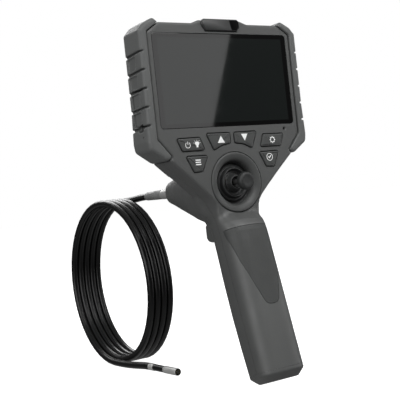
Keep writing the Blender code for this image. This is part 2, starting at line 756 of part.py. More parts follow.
def electronics():
    board = block("main_board", (-60.0, 9.5, -31.0), (60.0, 11.1, 31.0))
    finish(board, material("circuit_board", (0.01, 0.10, 0.03), 0.5))
    shield = block("processor_shield", (-15.0, 11.4, -12.0), (20.0, 14.2, 18.0), bevel=0.4)
    finish(shield, material("tin_plate", SILVER, 0.4, 1.0))
    for name, (low_y, high_y), (low_z, high_z) in (
        ("usb_socket", USB_Y, USB_Z), ("card_socket", CARD_Y, CARD_Z),
    ):
        socket = block(name, (-63.9, low_y, low_z), (-56.5, high_y, high_z))
        wall = 0.4
        combine(socket, "DIFFERENCE", block(
            "mouth", (-70.0, low_y + wall, low_z + wall), (-58.0, high_y - wall, high_z - wall),
        ))
        finish(socket, material("tin_plate", SILVER, 0.4, 1.0))

    cell = skinned("battery_cell", [
        [grip_point(u, v, t) for u, v in circle(radius, 24)]
        for t, radius in ((-35.0, 8.4), (-34.2, 9.2), (29.2, 9.2), (30.0, 8.4))
    ])
    finish(cell, material("battery_wrap", (0.02, 0.12, 0.35), 0.4))
    clip = skinned("battery_clip", [
        [grip_point(u, v, t) for u, v in rectangle(15.0, 12.0)] for t in (30.6, 32.0)
    ])
    finish(clip, material("tin_plate", SILVER, 0.4, 1.0))


def steering():
    """Two motors whose drums pull the wires that bend the probe's neck."""
    for side, word in ((-1, "left"), (1, "right")):
        drum = turned_ring(f"steering_drum_{word}", [
            (side * 1.5, 1.3), (side * 1.5, 9.0), (side * 2.5, 9.0), (side * 3.2, 7.6), (side * 4.4, 7.6),
            (side * 5.1, 9.0), (side * 6.0, 9.0), (side * 6.0, 1.3),
        ], axis="X", centre=DRUM_AXIS, count=24)
        finish(drum, material("gimbal_plastic", (0.6, 0.6, 0.58), 0.5), pivot=DRUM_AXIS)
        motor = turned(f"steering_motor_{word}", [
            (side * 2.2, 1.0), (side * 6.4, 1.0), (side * 6.4, 5.6), (side * 6.8, 6.0), (side * 15.0, 6.0),
        ], axis="X", centre=DRUM_AXIS, count=20)
        finish(motor, material("tin_plate", SILVER, 0.4, 1.0))


# ---------------------------------------------------------------- probe

def smooth_route(points, spacing):
    """Points at about the spacing along a Catmull-Rom curve through the route's own points."""
    route = [2 * points[0] - points[1]] + points + [2 * points[-1] - points[-2]]
    read = []
    for a, b, c, d in zip(route, route[1:], route[2:], route[3:]):
        steps = max(1, round((c - b).length / spacing))
        for k in range(steps):
            t = k / steps
            read.append(0.5 * (
                2 * b + (c - a) * t + (2 * a - 5 * b + 4 * c - d) * t**2 + (3 * b - a - 3 * c + d) * t**3
            ))
    return read + [points[-1]]


def tube(name, points, look):
    """A round tube along a smooth curve through the points, as a curve object."""
    read = smooth_route([Vector(p) for p in points], 2.4 * 2 * TUBE_RADIUS)
    curve = bpy.data.curves.new(name, "CURVE")
    curve.dimensions = "3D"
    curve.bevel_depth = TUBE_RADIUS * MM
    curve.bevel_resolution = 2
    curve.use_fill_caps = True
    spline = curve.splines.new("POLY")
    spline.points.add(len(read) - 1)
    for knot, place in zip(spline.points, read):
        knot.co = (*(place * MM), 1.0)
    made = bpy.data.objects.new(name, curve)
    bpy.context.scene.collection.objects.link(made)
    made.data.materials.append(look)
    made.parent = screen_centre()


LEAD_ROUTE = [(0.0, SLEEVE_END + GAP, PROBE_Z), (0.2, 142.0, -78.1), (0.5, 148.0, -78.3), (0.7, 153.6, -78.6)]
TAIL_ROUTE = [
    (-25.7, 149.0, -222.6), (-25.9, 140.0, -221.9), (-26.2, 130.0, -221.0), (TIP_X, 122.0, -220.4),
    (TIP_X, BAND_ENDS[1] + GAP, TIP_Z),
]


def probe():
    black = material("probe_tube", BLACK, 0.35)
    steel = material("brushed_steel", SILVER, 0.35, 1.0)
    exit_at = (0.0, 0.0, PROBE_Z)
    core = turned("probe_core", [(60.0, TUBE_RADIUS - 0.1), (98.0, TUBE_RADIUS - 0.1)], centre=exit_at, count=16)
    finish(core, black)
    ferrule = turned("probe_ferrule", [
        (98.4, 3.3), (81.6, 3.3), (81.6, 5.6), (83.2, 5.6), (83.2, 4.2), (FERRULE_END - 0.4, 4.2),
        (FERRULE_END, 3.8),
    ], centre=exit_at, count=20)
    finish(ferrule, steel)
    sleeve = turned("probe_sleeve", [
        (FERRULE_END + GAP, 3.6), (FERRULE_END + 1.2, 4.0), (SLEEVE_END - 2.0, 3.6), (SLEEVE_END, 3.3),
    ], centre=exit_at, count=20)
    finish(sleeve, material("sleeve_rubber", (0.16, 0.16, 0.16), 0.6))

    tube("probe_lead", LEAD_ROUTE, black)
    low_x, high_x = COIL_X[0] - TUBE_RADIUS - 0.1, COIL_X[1] + TUBE_RADIUS + 0.1
    inner, outer = COIL_RADIUS - TUBE_RADIUS - 0.1, COIL_RADIUS + TUBE_RADIUS + 0.1
    coil = turned_ring("probe_coil", [
        (low_x, inner + 2.0), (low_x, outer - 2.0), (low_x + 2.0, outer), (high_x - 2.0, outer),
        (high_x, outer - 2.0), (high_x, inner + 2.0), (high_x - 2.0, inner), (low_x + 2.0, inner),
    ], axis="X", centre=COIL_CENTRE, count=44)
    finish(coil, black)
    tube("probe_tail", TAIL_ROUTE, black)


def bending_tip():
    """The steered neck's knuckles and the camera head, along -Y from the band at the tube's end."""
    steel = material("brushed_steel", SILVER, 0.35, 1.0)
    black = material("knuckle", BLACK, 0.5)
    axis_at = (TIP_X, 0.0, TIP_Z)
    waist, barrel, taper = 1.1, 2.8, 1.1
    band = turned("tip_band", [
        (BAND_ENDS[1], 2.8), (BAND_ENDS[1] - 0.3, TUBE_RADIUS), (BAND_ENDS[0], TUBE_RADIUS),
        (BAND_ENDS[0] - 0.4, barrel), (NECK_START, waist),
    ], centre=axis_at, count=20)
    finish(band, steel)
    start = NECK_START - LINK_GAP
    for number in (1, 2, 3):
        end = start - LINK_LENGTH
        link = turned(f"neck_link_{number}", [
            (start, waist), (start - taper, barrel), (end + taper, barrel), (end, waist),
        ], centre=axis_at, count=16)
        finish(link, black, pivot=(TIP_X, start + LINK_GAP / 2, TIP_Z))
        start = end - LINK_GAP
    pivot = (TIP_X, start + LINK_GAP / 2, TIP_Z)
    head = turned("camera_head", [
        (start, waist), (start - taper, barrel), (start - 1.8, TUBE_RADIUS), (CAMERA_END + 0.3, TUBE_RADIUS),
        (CAMERA_END, 2.7), (CAMERA_END, 2.4), (CAMERA_END + 0.9, 2.4),
    ], centre=axis_at, count=20)
    finish(head, steel, pivot=pivot)
    window = turned(
        "lens_window", [(CAMERA_END + 0.6, 2.1), (CAMERA_END + 0.15, 2.1)], centre=axis_at, count=16,
    )
    finish(window, material("lens_glass", BLACK, 0.05), pivot=pivot)


def main():
    clear_scene()
    housing()
    case_screws()
    badge = prism("badge_plate", BADGE_OUTLINE, [(-1.3, 0.6), (-0.7, 0.0), (2.7, 0.0)])
    finish(badge, material("badge_plastic", BLACK, 0.35))
    grip_pieces()
    bumper(-1)
    bumper(1)
    port_cover()
    screen()
    keys()
    joystick()
    trigger()
    electronics()
    steering()
    probe()
    bending_tip()


main()
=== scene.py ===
import math

import bmesh
import bpy
import numpy as np
from mathutils import Matrix, Vector

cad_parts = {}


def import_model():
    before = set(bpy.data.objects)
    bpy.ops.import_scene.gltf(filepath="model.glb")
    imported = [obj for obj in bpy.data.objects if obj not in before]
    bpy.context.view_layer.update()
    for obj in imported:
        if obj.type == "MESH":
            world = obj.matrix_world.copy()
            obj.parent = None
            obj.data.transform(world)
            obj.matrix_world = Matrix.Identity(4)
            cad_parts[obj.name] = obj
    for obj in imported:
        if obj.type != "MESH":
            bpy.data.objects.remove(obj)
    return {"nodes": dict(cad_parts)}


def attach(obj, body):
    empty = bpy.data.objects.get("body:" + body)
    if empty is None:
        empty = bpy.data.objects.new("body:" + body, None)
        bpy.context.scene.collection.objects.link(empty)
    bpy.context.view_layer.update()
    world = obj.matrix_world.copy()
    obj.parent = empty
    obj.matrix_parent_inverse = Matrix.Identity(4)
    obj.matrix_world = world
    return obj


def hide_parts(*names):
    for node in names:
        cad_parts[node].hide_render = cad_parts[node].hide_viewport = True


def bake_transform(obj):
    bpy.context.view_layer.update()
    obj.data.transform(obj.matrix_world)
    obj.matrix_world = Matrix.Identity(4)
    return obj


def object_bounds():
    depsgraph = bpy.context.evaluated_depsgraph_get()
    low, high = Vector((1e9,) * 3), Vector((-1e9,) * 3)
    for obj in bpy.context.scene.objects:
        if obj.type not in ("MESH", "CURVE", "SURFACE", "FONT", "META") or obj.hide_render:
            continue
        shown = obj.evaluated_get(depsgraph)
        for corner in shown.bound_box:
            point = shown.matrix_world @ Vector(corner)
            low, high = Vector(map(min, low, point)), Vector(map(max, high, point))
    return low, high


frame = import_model()
cad_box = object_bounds()

# Everything is drawn in millimetres round the centre of the glass, as the CAD is, and put in the
# frame's metres at the end: +X to the user's right, +Y away from the user, +Z up.
MM = 0.001
GLASS_CENTRE = Vector((0.0, 12.3, 165.0))
TO_FRAME = Matrix.Translation(GLASS_CENTRE * MM) @ Matrix.Scale(MM, 4)


def place(x, y, z):
    """A point given in millimetres round the glass's centre, in the frame."""
    return TO_FRAME @ Vector((x, y, z))


# ---- camera

def camera():
    right = Vector((0.833156, -0.542681, -0.106528))
    up = Vector((0.085789, -0.063470, 0.994290))
    ahead = Vector((0.546343, 0.837537, 0.006324))
    data = bpy.data.cameras.new("camera")
    data.lens = 76.5
    data.sensor_width = 36.0
    data.clip_start, data.clip_end = 0.01, 50.0
    made = bpy.data.objects.new("camera", data)
    turn = Matrix((right, up, -ahead)).transposed().to_4x4()
    made.matrix_world = Matrix.Translation((-0.368551, -0.500301, 0.074393)) @ turn
    bpy.context.scene.collection.objects.link(made)
    bpy.context.scene.camera = made


camera()

# ---- materials

def map_range(owner, value, start, end, low=0.0, high=1.0, smooth=False):
    """A value of a material or a world, taken from start..end to low..high."""
    step = owner.node_tree.nodes.new("ShaderNodeMapRange")
    for name, number in (("From Min", start), ("From Max", end), ("To Min", low), ("To Max", high)):
        step.inputs[name].default_value = number
    if smooth:
        step.interpolation_type = "SMOOTHSTEP"
    owner.node_tree.links.new(value, step.inputs["Value"])
    return step.outputs["Result"]


def mixed(owner, share, first, second):
    """The colour between two, by a share. Each is a socket or a constant."""
    step = owner.node_tree.nodes.new("ShaderNodeMix")
    step.data_type = "RGBA"
    owner.node_tree.links.new(share, step.inputs["Factor"])
    for name, value in (("A", first), ("B", second)):
        if isinstance(value, tuple):
            step.inputs[name].default_value = (*value, 1.0)
        else:
            owner.node_tree.links.new(value, step.inputs[name])
    return step.outputs["Result"]


def look(name, colour, roughness, metallic=0.0, grain=0.0, grain_size=0.4, mottle=0.05, uneven=0.05,
         edges=0.0, coat=0.0, specular=0.5):
    """A moulded or machined surface: fine grain in its relief, slow changes in its colour and roughness,
    and a painted highlight that makes convex edges paler. Grain and grain_size are in millimetres."""
    made = bpy.data.materials.new(name)
    made.use_nodes = True
    nodes, links = made.node_tree.nodes, made.node_tree.links
    shader = nodes["Principled BSDF"]
    shader.inputs["Metallic"].default_value = metallic
    shader.inputs["Coat Weight"].default_value = coat
    shader.inputs["Coat Roughness"].default_value = 0.15
    shader.inputs["Specular IOR Level"].default_value = specular
    where = nodes.new("ShaderNodeTexCoord")

    def noise(size_mm, detail):
        texture = nodes.new("ShaderNodeTexNoise")
        texture.inputs["Scale"].default_value = 1.0 / (size_mm * MM)
        texture.inputs["Detail"].default_value = detail
        links.new(where.outputs["Object"], texture.inputs["Vector"])
        return texture.outputs["Fac"]

    def stretched(source, low, high):
        return map_range(made, source, 0.3, 0.7, low, high)

    slow = noise(38.0, 3.0)
    darker = tuple(c * (1 - mottle) for c in colour)
    paler = tuple(c * (1 + mottle) for c in colour)
    tone = mixed(made, stretched(slow, 0.0, 1.0), darker, paler)
    # Painted highlight: convex edges, found by pointiness, are mixed towards a paler colour, as light
    # catching them would look.
    if edges:
        geometry = nodes.new("ShaderNodeNewGeometry")
        painted_edge_highlight = map_range(made, geometry.outputs["Pointiness"], 0.52, 0.60, 0.0, edges)
        tone = mixed(made, painted_edge_highlight, tone, tuple(min(1.0, c * 2.2 + 0.02) for c in colour))
    links.new(tone, shader.inputs["Base Color"])
    links.new(stretched(noise(9.0, 4.0), roughness - uneven, roughness + uneven), shader.inputs["Roughness"])
    if grain:
        bump = nodes.new("ShaderNodeBump")
        bump.inputs["Strength"].default_value = 1.0
        bump.inputs["Distance"].default_value = grain * MM
        links.new(noise(grain_size, 2.0), bump.inputs["Height"])
        links.new(bump.outputs["Normal"], shader.inputs["Normal"])
    return made


CHARCOAL = (0.066, 0.068, 0.067)

# edges sets the strength of the painted highlight on convex edges.
body_plastic = look("body_plastic", CHARCOAL, 0.50, grain=0.035, grain_size=0.5, edges=0.12)
guard_rubber = look("guard_rubber", (0.088, 0.091, 0.090), 0.62, grain=0.05, grain_size=0.6, edges=0.15)
pad_rubber = look("pad_rubber", (0.032, 0.034, 0.033), 0.60, grain=0.08, grain_size=0.7)
key_rubber = look("key_rubber", (0.044, 0.046, 0.045), 0.55, grain=0.02)
ring_plastic = look("ring_plastic", (0.054, 0.056, 0.055), 0.52, grain=0.03, grain_size=0.5)
trigger_plastic = look("trigger_plastic", (0.055, 0.057, 0.056), 0.52, grain=0.03, grain_size=0.5)
boot_rubber = look("boot_black_rubber", (0.018, 0.019, 0.019), 0.5, grain=0.02, grain_size=0.5)
knob_rubber = look("knob_soft_rubber", (0.011, 0.012, 0.012), 0.58, grain=0.03, grain_size=0.5)
print_white = look("print_white", (0.86, 0.87, 0.86), 0.5, mottle=0.01)
satin_black = look("satin_black", (0.022, 0.023, 0.023), 0.42, grain=0.015)
gloss_black = look("gloss_black", (0.006, 0.006, 0.007), 0.10, uneven=0.03, coat=0.5)
badge_black = look("badge_black", (0.0015, 0.0015, 0.0015), 0.6, specular=0.05)
nylon = look("nylon", (0.03, 0.03, 0.03), 0.4, grain=0.01)
natural_nylon = look("natural_nylon", (0.58, 0.57, 0.52), 0.45, grain=0.015)
tube_black = look("tube_black", (0.0026, 0.0027, 0.0028), 0.30, uneven=0.01, specular=0.30)
steel = look("turned_steel", (0.44, 0.44, 0.43), 0.38, metallic=0.4, grain=0.006, grain_size=0.3)
satin_nickel = look("satin_nickel", (0.39, 0.39, 0.385), 0.42, metallic=0.4, grain=0.006, grain_size=0.3)
tin = look("tin", (0.55, 0.55, 0.53), 0.38, metallic=1.0, uneven=0.10)
screw_steel = look("screw_steel", (0.05, 0.05, 0.052), 0.34, metallic=0.9, uneven=0.10)
sleeve_grey = look("sleeve_grey", (0.155, 0.158, 0.157), 0.55, grain=0.03, grain_size=0.5)
board_green = look("board_green", (0.012, 0.085, 0.03), 0.45, mottle=0.25, grain=0.05, grain_size=1.2)
foam = look("foam", (0.012, 0.012, 0.012), 0.9, grain=0.15, grain_size=0.6)
cell_blue = look("cell_blue", (0.02, 0.11, 0.32), 0.35, mottle=0.08)
lens_black = look("lens_black", (0.003, 0.003, 0.004), 0.12, uneven=0.02, specular=0.3)
led_yellow = look("led_yellow", (0.12, 0.11, 0.06), 0.25, mottle=0.1)


def screen_look():
    """Cover glass with a printed black border round the dark panel behind it."""
    made = look("cover_glass", (0.0070, 0.0088, 0.0084), 0.035, mottle=0.03, uneven=0.01)
    nodes, links = made.node_tree.nodes, made.node_tree.links
    shader = nodes["Principled BSDF"]
    where = nodes.new("ShaderNodeTexCoord")
    split = nodes.new("ShaderNodeSeparateXYZ")
    links.new(where.outputs["Object"], split.inputs["Vector"])

    def maths(operation, *values):
        step = nodes.new("ShaderNodeMath")
        step.operation = operation
        for socket, value in zip(step.inputs, values):
            if isinstance(value, float):
                socket.default_value = value
            else:
                links.new(value, socket)
        return step.outputs[0]

    within = []
    for axis, middle, half in (("X", 0.0, 55.9 * MM), ("Z", GLASS_CENTRE.z * MM, 31.3 * MM)):
        away = maths("ABSOLUTE", maths("SUBTRACT", split.outputs[axis], middle))
        within.append(map_range(made, away, half - 0.1 * MM, half + 0.1 * MM, 1.0, 0.0))
    panel = shader.inputs["Base Color"].links[0].from_socket
    bordered = mixed(made, maths("MULTIPLY", *within), (0.0008, 0.0008, 0.0009), panel)
    links.new(bordered, shader.inputs["Base Color"])
    return made


glass_black = screen_look()

# ---- outlines

def mirrored(half):
    """A closed outline from its right half, listed from top to bottom."""
    return list(half) + [(-u, v) for u, v in reversed(half) if abs(u) > 1e-6]


def circle(radius, count):
    angles = [2 * math.pi * i / count for i in range(count)]
    return [(radius * math.cos(angle), radius * math.sin(angle)) for angle in angles]


def rectangle(width, height, centre=(0.0, 0.0)):
    u, v = centre
    return [
        (u - width / 2, v - height / 2), (u + width / 2, v - height / 2),
        (u + width / 2, v + height / 2), (u - width / 2, v + height / 2),
    ]


def superellipse(half_width, front, rear, count=96, powers=(2.5, 2.8)):
    """A rounded section whose front (v < 0) and rear may differ in depth and in how square they are."""
    points = []
    for i in range(count):
        angle = 2 * math.pi * (i + 0.5) / count
        c, s = math.cos(angle), math.sin(angle)
        power = powers[s > 0]
        u = math.copysign(abs(c) ** (2 / power), c) * half_width
        v = math.copysign(abs(s) ** (2 / power), s) * (rear if s > 0 else front)
        points.append((u, v))
    return points


def offset(outline, distance):
    """The outline moved inwards by distance, or outwards where it is negative, with mitred corners."""
    if not distance:
        return list(outline)
    count = len(outline)
    doubled = sum(
        outline[i][0] * outline[(i + 1) % count][1] - outline[(i + 1) % count][0] * outline[i][1]
        for i in range(count)
    )
    turn = math.copysign(1.0, doubled)
    moved = []
    for i in range(count):
        before = (Vector(outline[i]) - Vector(outline[i - 1])).normalized()
        after = (Vector(outline[(i + 1) % count]) - Vector(outline[i])).normalized()
        first = Vector((-before.y, before.x)) * turn
        second = Vector((-after.y, after.x)) * turn
        middle = (first + second).normalized()
        corner = Vector(outline[i]) + middle * (distance / middle.dot(first))
        moved.append((corner.x, corner.y))
    return moved


def rounded(outline, radius, steps=6):
    """The outline with each corner replaced by an arc, of one radius or of its own from a list, or of less
    on a short side."""
    count = len(outline)
    radii = radius if isinstance(radius, list) else [radius] * count
    points = []
    for i in range(count):
        corner = Vector(outline[i])
        back = Vector(outline[i - 1]) - corner
        ahead = Vector(outline[(i + 1) % count]) - corner
        opening = back.angle(ahead)
        if opening > math.radians(178.0):
            points.append(outline[i])
            continue
        reach = min(radii[i] / math.tan(opening / 2), 0.45 * back.length, 0.45 * ahead.length)
        start = corner + back.normalized() * reach
        end = corner + ahead.normalized() * reach
        for k in range(steps + 1):
            t = k / steps
            bow = (1 - t) ** 2 * start + 2 * t * (1 - t) * corner + t**2 * end
            points.append((bow.x, bow.y))
    return points


def curved(points, steps=5):
    """Points along a Catmull-Rom curve through an open profile's own points."""
    route = [Vector(p) for p in points]
    route = [2 * route[0] - route[1]] + route + [2 * route[-1] - route[-2]]
    read = []
    for a, b, c, d in zip(route, route[1:], route[2:], route[3:]):
        for k in range(steps):
            t = k / steps
            read.append(0.5 * (
                2 * b + (c - a) * t + (2 * a - 5 * b + 4 * c - d) * t**2 + (3 * b - a - 3 * c + d) * t**3
            ))
    return [tuple(point) for point in read + [route[-2]]]


# ---- meshes

def on_axis(axis, centre, u, v, h):
    """The point at (u, v) across an axis and h along it."""
    across = {"X": (h, u, v), "Y": (u, h, v), "Z": (u, v, h)}[axis]
    return Vector(centre) + Vector(across)


def new_object(name, mesh):
    """An object from a bmesh, its faces turned outwards."""
    bmesh.ops.recalc_face_normals(mesh, faces=mesh.faces)
    data = bpy.data.meshes.new(name)
    mesh.to_mesh(data)
    mesh.free()
    made = bpy.data.objects.new(name, data)
    bpy.context.scene.collection.objects.link(made)
    return made


def skinned(name, rings):
    """A closed body through rings of points, with a face over its first ring and its last."""
    mesh = bmesh.new()
    loops = [[mesh.verts.new(point) for point in ring] for ring in rings]
    for first, second in zip(loops, loops[1:]):
        for i, corner in enumerate(first):
            j = (i + 1) % len(first)
            mesh.faces.new((corner, first[j], second[j], second[i]))
    mesh.faces.new(loops[0])
    mesh.faces.new(loops[-1])
    return new_object(name, mesh)


def prism(name, outline, stations, axis="Y", centre=(0.0, 0.0, 0.0)):
    """An outline carried along an axis, through stations of (height, inset)."""
    return skinned(name, [
        [on_axis(axis, centre, u, v, height) for u, v in offset(outline, inset)]
        for height, inset in stations
    ])


def block(name, low, high):
    return prism(
        name, rectangle(high[0] - low[0], high[2] - low[2], ((low[0] + high[0]) / 2, (low[2] + high[2]) / 2)),
        [(low[1], 0.0), (high[1], 0.0)],
    )


def turned(name, profile, axis="Y", centre=(0.0, 0.0, 0.0), count=64):
    """A body turned about an axis from a profile of (height, radius), flat at both ends."""
    return skinned(name, [
        [on_axis(axis, centre, u, v, height) for u, v in circle(radius, count)]
        for height, radius in profile
    ])


def turned_ring(name, profile, axis="Y", centre=(0.0, 0.0, 0.0), count=96):
    """A ring turned about an axis from a closed profile of (height, radius)."""
    mesh = bmesh.new()
    loops = [
        [mesh.verts.new(on_axis(axis, centre, radius * u, radius * v, height)) for height, radius in profile]
        for u, v in circle(1.0, count)
    ]
    for k, loop in enumerate(loops):
        beside = loops[(k + 1) % count]
        for i, corner in enumerate(loop):
            j = (i + 1) % len(loop)
            mesh.faces.new((corner, loop[j], beside[j], beside[i]))
    return new_object(name, mesh)


def result_of(piece):
    """Puts a piece's modifiers into its mesh."""
    bpy.context.view_layer.update()
    graph = bpy.context.evaluated_depsgraph_get()
    mesh = bpy.data.meshes.new_from_object(piece.evaluated_get(graph))
    piece.modifiers.clear()
    piece.data = mesh
    return piece


def combine(base, operation, *tools):
    """The base after a Boolean with each tool in turn. The tools are used up."""
    for tool in tools:
        step = base.modifiers.new(operation.title(), "BOOLEAN")
        step.operation = operation
        step.solver = "MANIFOLD"
        step.object = tool
    result_of(base)
    for tool in tools:
        bpy.data.objects.remove(tool, do_unlink=True)
    return base


def relax(piece, weights, rounds):
    """Moves each corner towards the mean of its neighbours, by its own weight, in rounds."""
    mesh = piece.data
    count = len(mesh.vertices)
    co = np.empty(count * 3)
    mesh.vertices.foreach_get("co", co)
    co = co.reshape(-1, 3)
    ends = np.empty(len(mesh.edges) * 2, np.int64)
    mesh.edges.foreach_get("vertices", ends)
    a, b = ends.reshape(-1, 2).T
    degree = np.maximum(np.bincount(ends, minlength=count), 1)
    share = np.asarray(weights(co) if callable(weights) else np.full(count, weights))
    for _ in range(rounds):
        total = np.stack([
            np.bincount(a, co[b, k], count) + np.bincount(b, co[a, k], count) for k in range(3)
        ], axis=1)
        co += share[:, None] * (total / degree[:, None] - co)
    mesh.vertices.foreach_set("co", co.ravel())
    mesh.update()
    return piece


def softened(piece, voxel, rounds, weight=0.5):
    """The piece with an even mesh and rounded edges, as moulding leaves them."""
    step = piece.modifiers.new("Remesh", "REMESH")
    step.mode = "VOXEL"
    step.voxel_size = voxel
    result_of(piece)
    return relax(piece, weight, rounds)


def twin(piece, name):
    """A copy of a piece with its own mesh."""
    made = piece.copy()
    made.data = piece.data.copy()
    made.name = name
    bpy.context.scene.collection.objects.link(made)
    return made


def show(piece, body, material, nodes=(), sharp=30.0):
    """Puts a piece in the frame with its material, on its body."""
    piece.data.transform(TO_FRAME)
    piece.data.materials.clear()
    piece.data.materials.append(material)
    piece.data.shade_smooth()
    if sharp < 180:
        piece.data.set_sharp_from_angle(angle=math.radians(sharp))
    if body:
        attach(piece, body)
    if nodes:
        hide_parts(*nodes)
    return piece


# ---- the probe's cord

PROBE_Z = -78.0
TUBE_RADIUS = 3.0
SLEEVE_END = 135.5
COIL_MIDDLE = Vector((0.0, 180.8, -150.4))
COIL_RADIUS = 70.8
COIL_X = (2.1, -25.6)  # where the first and last turns' centres are
COIL_TURNS = 4.5
LAST_TURN_GROWTH = 1.9  # of the radius, over the last half turn
TIP_X, TIP_Z = -26.4, -220.2
BAND_END = 114.5
TURN_POINTS = 48


def cord_route():
    """The tube's centre line from the sleeve to the band, as its lead, its coil and its tail."""
    lead = [(0.0, SLEEVE_END, PROBE_Z), (0.2, 142.0, -78.1), (0.5, 148.0, -78.3), (0.9, 158.0, -78.9),
            (1.5, 169.0, -79.4)]
    coil = []
    steps = int(COIL_TURNS * TURN_POINTS)
    for k in range(steps + 1):
        angle = 2 * math.pi * k / TURN_POINTS
        share = k / steps
        grown = max(0.0, (angle - 2 * math.pi * (COIL_TURNS - 0.5)) / math.pi)
        radius = COIL_RADIUS + LAST_TURN_GROWTH * grown**2
        coil.append((
            COIL_X[0] + (COIL_X[1] - COIL_X[0]) * share,
            COIL_MIDDLE.y + radius * math.sin(angle),
            COIL_MIDDLE.z + radius * math.cos(angle),
        ))
    tail = [(-25.7, 171.0, -223.1), (-25.8, 160.0, -222.9), (-25.85, 149.0, -222.4), (-25.95, 140.0, -221.8),
            (-26.2, 130.0, -221.0), (TIP_X, 122.0, -220.4), (TIP_X, BAND_END, TIP_Z)]
    return lead, coil, tail


def probe_cord():
    lead, coil, tail = cord_route()
    route = curved(lead + coil[:1], 3)[:-1] + coil[:-1] + curved(coil[-1:] + tail, 3)
    route = [Vector(point) for point in route]
    curve = bpy.data.curves.new("probe_tube_coiled", "CURVE")
    curve.dimensions = "3D"
    curve.bevel_depth = TUBE_RADIUS * MM
    curve.bevel_resolution = 8
    curve.use_fill_caps = True
    spline = curve.splines.new("POLY")
    spline.points.add(len(route) - 1)
    for knot, point in zip(spline.points, route):
        knot.co = (*place(*point), 1.0)
    spline.use_smooth = True
    made = bpy.data.objects.new("probe_tube_coiled", curve)
    bpy.context.scene.collection.objects.link(made)
    curve.materials.append(tube_black)
    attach(made, "housing")
    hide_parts("probe_lead", "probe_coil", "probe_tail")
    length = sum((b - a).length for a, b in zip(route, route[1:])) * MM
    return made, length


cord, cord_length = probe_cord()

# ---- housing

GRIP_MIDDLE = Vector((0.0, -12.3, -165.0))
GRIP_TILT = math.radians(15.3)
GRIP_SEAM = 50.0  # how far down the grip its base starts
SEAM_GAP = 0.12
PARTING_Y = 12.5
WALL = 2.6  # from the outer skin to the hollow
SCREEN_WALL = 3.6
GRIP_WALL = 2.4
HEAD_BACK = 26.0
GLASS_SIZE = (120.5, 69.0)
GLASS_CORNER = 3.0
KEY_CORNER = 1.3
TRIGGER_SIDE = 12.0

HEAD_OUTLINE = mirrored([
    (0.0, 44.6), (18.5, 44.6), (25.0, 42.2), (53.4, 42.2), (64.2, 34.9),
    (64.2, -41.9), (53.0, -55.0), (55.9, -57.1), (42.0, -69.2), (30.8, -79.4), (23.0, -86.9),
    (19.9, -91.0), (19.3, -95.0), (20.0, -100.5), (0.0, -100.5),
])

GRIP_SECTIONS = [  # distance down the grip, half-width, depth in front of the axis, depth behind it
    (-75.0, 19.1, 5.0, 20.0), (-68.0, 19.1, 5.6, 20.0), (-64.0, 19.3, 9.7, 20.0),
    (-60.0, 19.3, 13.8, 20.0), (-56.0, 19.1, 15.9, 19.9), (-51.0, 18.9, 17.1, 19.9),
    (-44.0, 18.9, 17.3, 20.3), (-20.0, 18.9, 16.6, 21.9), (5.0, 18.9, 15.8, 22.4),
    (30.0, 18.9, 15.0, 21.5), (52.5, 18.9, 14.4, 19.8), (57.6, 13.8, 9.3, 14.9),
]

NOSE_SECTIONS = [  # distance from the front, half-width, top, bottom
    (18.0, 26.0, -50.0, -105.0), (39.5, 21.4, -55.8, -104.6), (44.0, 20.4, -57.0, -102.6),
    (64.0, 17.0, -62.5, -95.2), (78.0, 12.6, -66.2, -90.6), (86.0, 10.3, -67.8, -88.3),
    (88.6, 9.6, -68.4, -87.6), (89.6, 8.2, -69.8, -86.2),
]


def read_between(rows, at):
    """A row of a table read between its own rows."""
    keys = [row[0] for row in rows]
    return [float(np.interp(at, keys, [row[k] for row in rows])) for k in range(1, len(rows[0]))]


def grip_point(u, v, t):
    """The point at u across the grip, v behind its axis and t down it."""
    rearwards = Vector((0.0, math.cos(GRIP_TILT), -math.sin(GRIP_TILT)))
    downwards = Vector((0.0, -math.sin(GRIP_TILT), -math.cos(GRIP_TILT)))
    return GRIP_MIDDLE + Vector((u, 0.0, 0.0)) + rearwards * v + downwards * t


def grip_column(name, inset, start, end, step=4.0, count=96):
    """The grip's column with its skin moved inwards by inset, from one distance down it to another."""
    stations = sorted({start, end, *(row[0] for row in GRIP_SECTIONS if start < row[0] < end),
                       *np.arange(start + step, end - 0.5 * step, step).tolist()})
    rings = []
    for t in stations:
        half_width, front, rear = (size - inset for size in read_between(GRIP_SECTIONS, t))
        rings.append([grip_point(u, v, t) for u, v in superellipse(half_width, front, rear, count)])
    return skinned(name, rings)


def nose_cone(name, inset, end, count=96):
    rings = []
    rows = [row for row in NOSE_SECTIONS if row[0] < end] + [(end, *read_between(NOSE_SECTIONS, end))]
    for y, half_width, top, bottom in rows:
        centre_z = (top + bottom) / 2
        half_height = (top - bottom) / 2 - inset
        outline = superellipse(half_width - inset, half_height, half_height, count, (2.3, 2.3))
        rings.append([Vector((u, y, centre_z + v)) for u, v in outline])
    return skinned(name, rings)


def bell(value, centre, width):
    return np.exp(-(((value - centre) / width) ** 2))


def blended_joins(co):
    """How much each corner of the housing's skin is smoothed: most where the grip, nose and head meet."""
    x, y, z = co.T
    shoulder = bell(z, -99.5, 5.0) * bell(y, -1.0, 6.0)
    neck = bell(z, -95.0, 9.0) * (y > 1.5) * (y < 34.0)
    nose_root = bell(y, 27.0, 5.0) * (z < -44.0) * (np.abs(x) < 44.0)
    under_nose = bell(z, -103.0, 7.0) * bell(y, 34.0, 12.0)
    return 0.62 * np.clip(shoulder + neck + nose_root + under_nose, 0.0, 1.0)


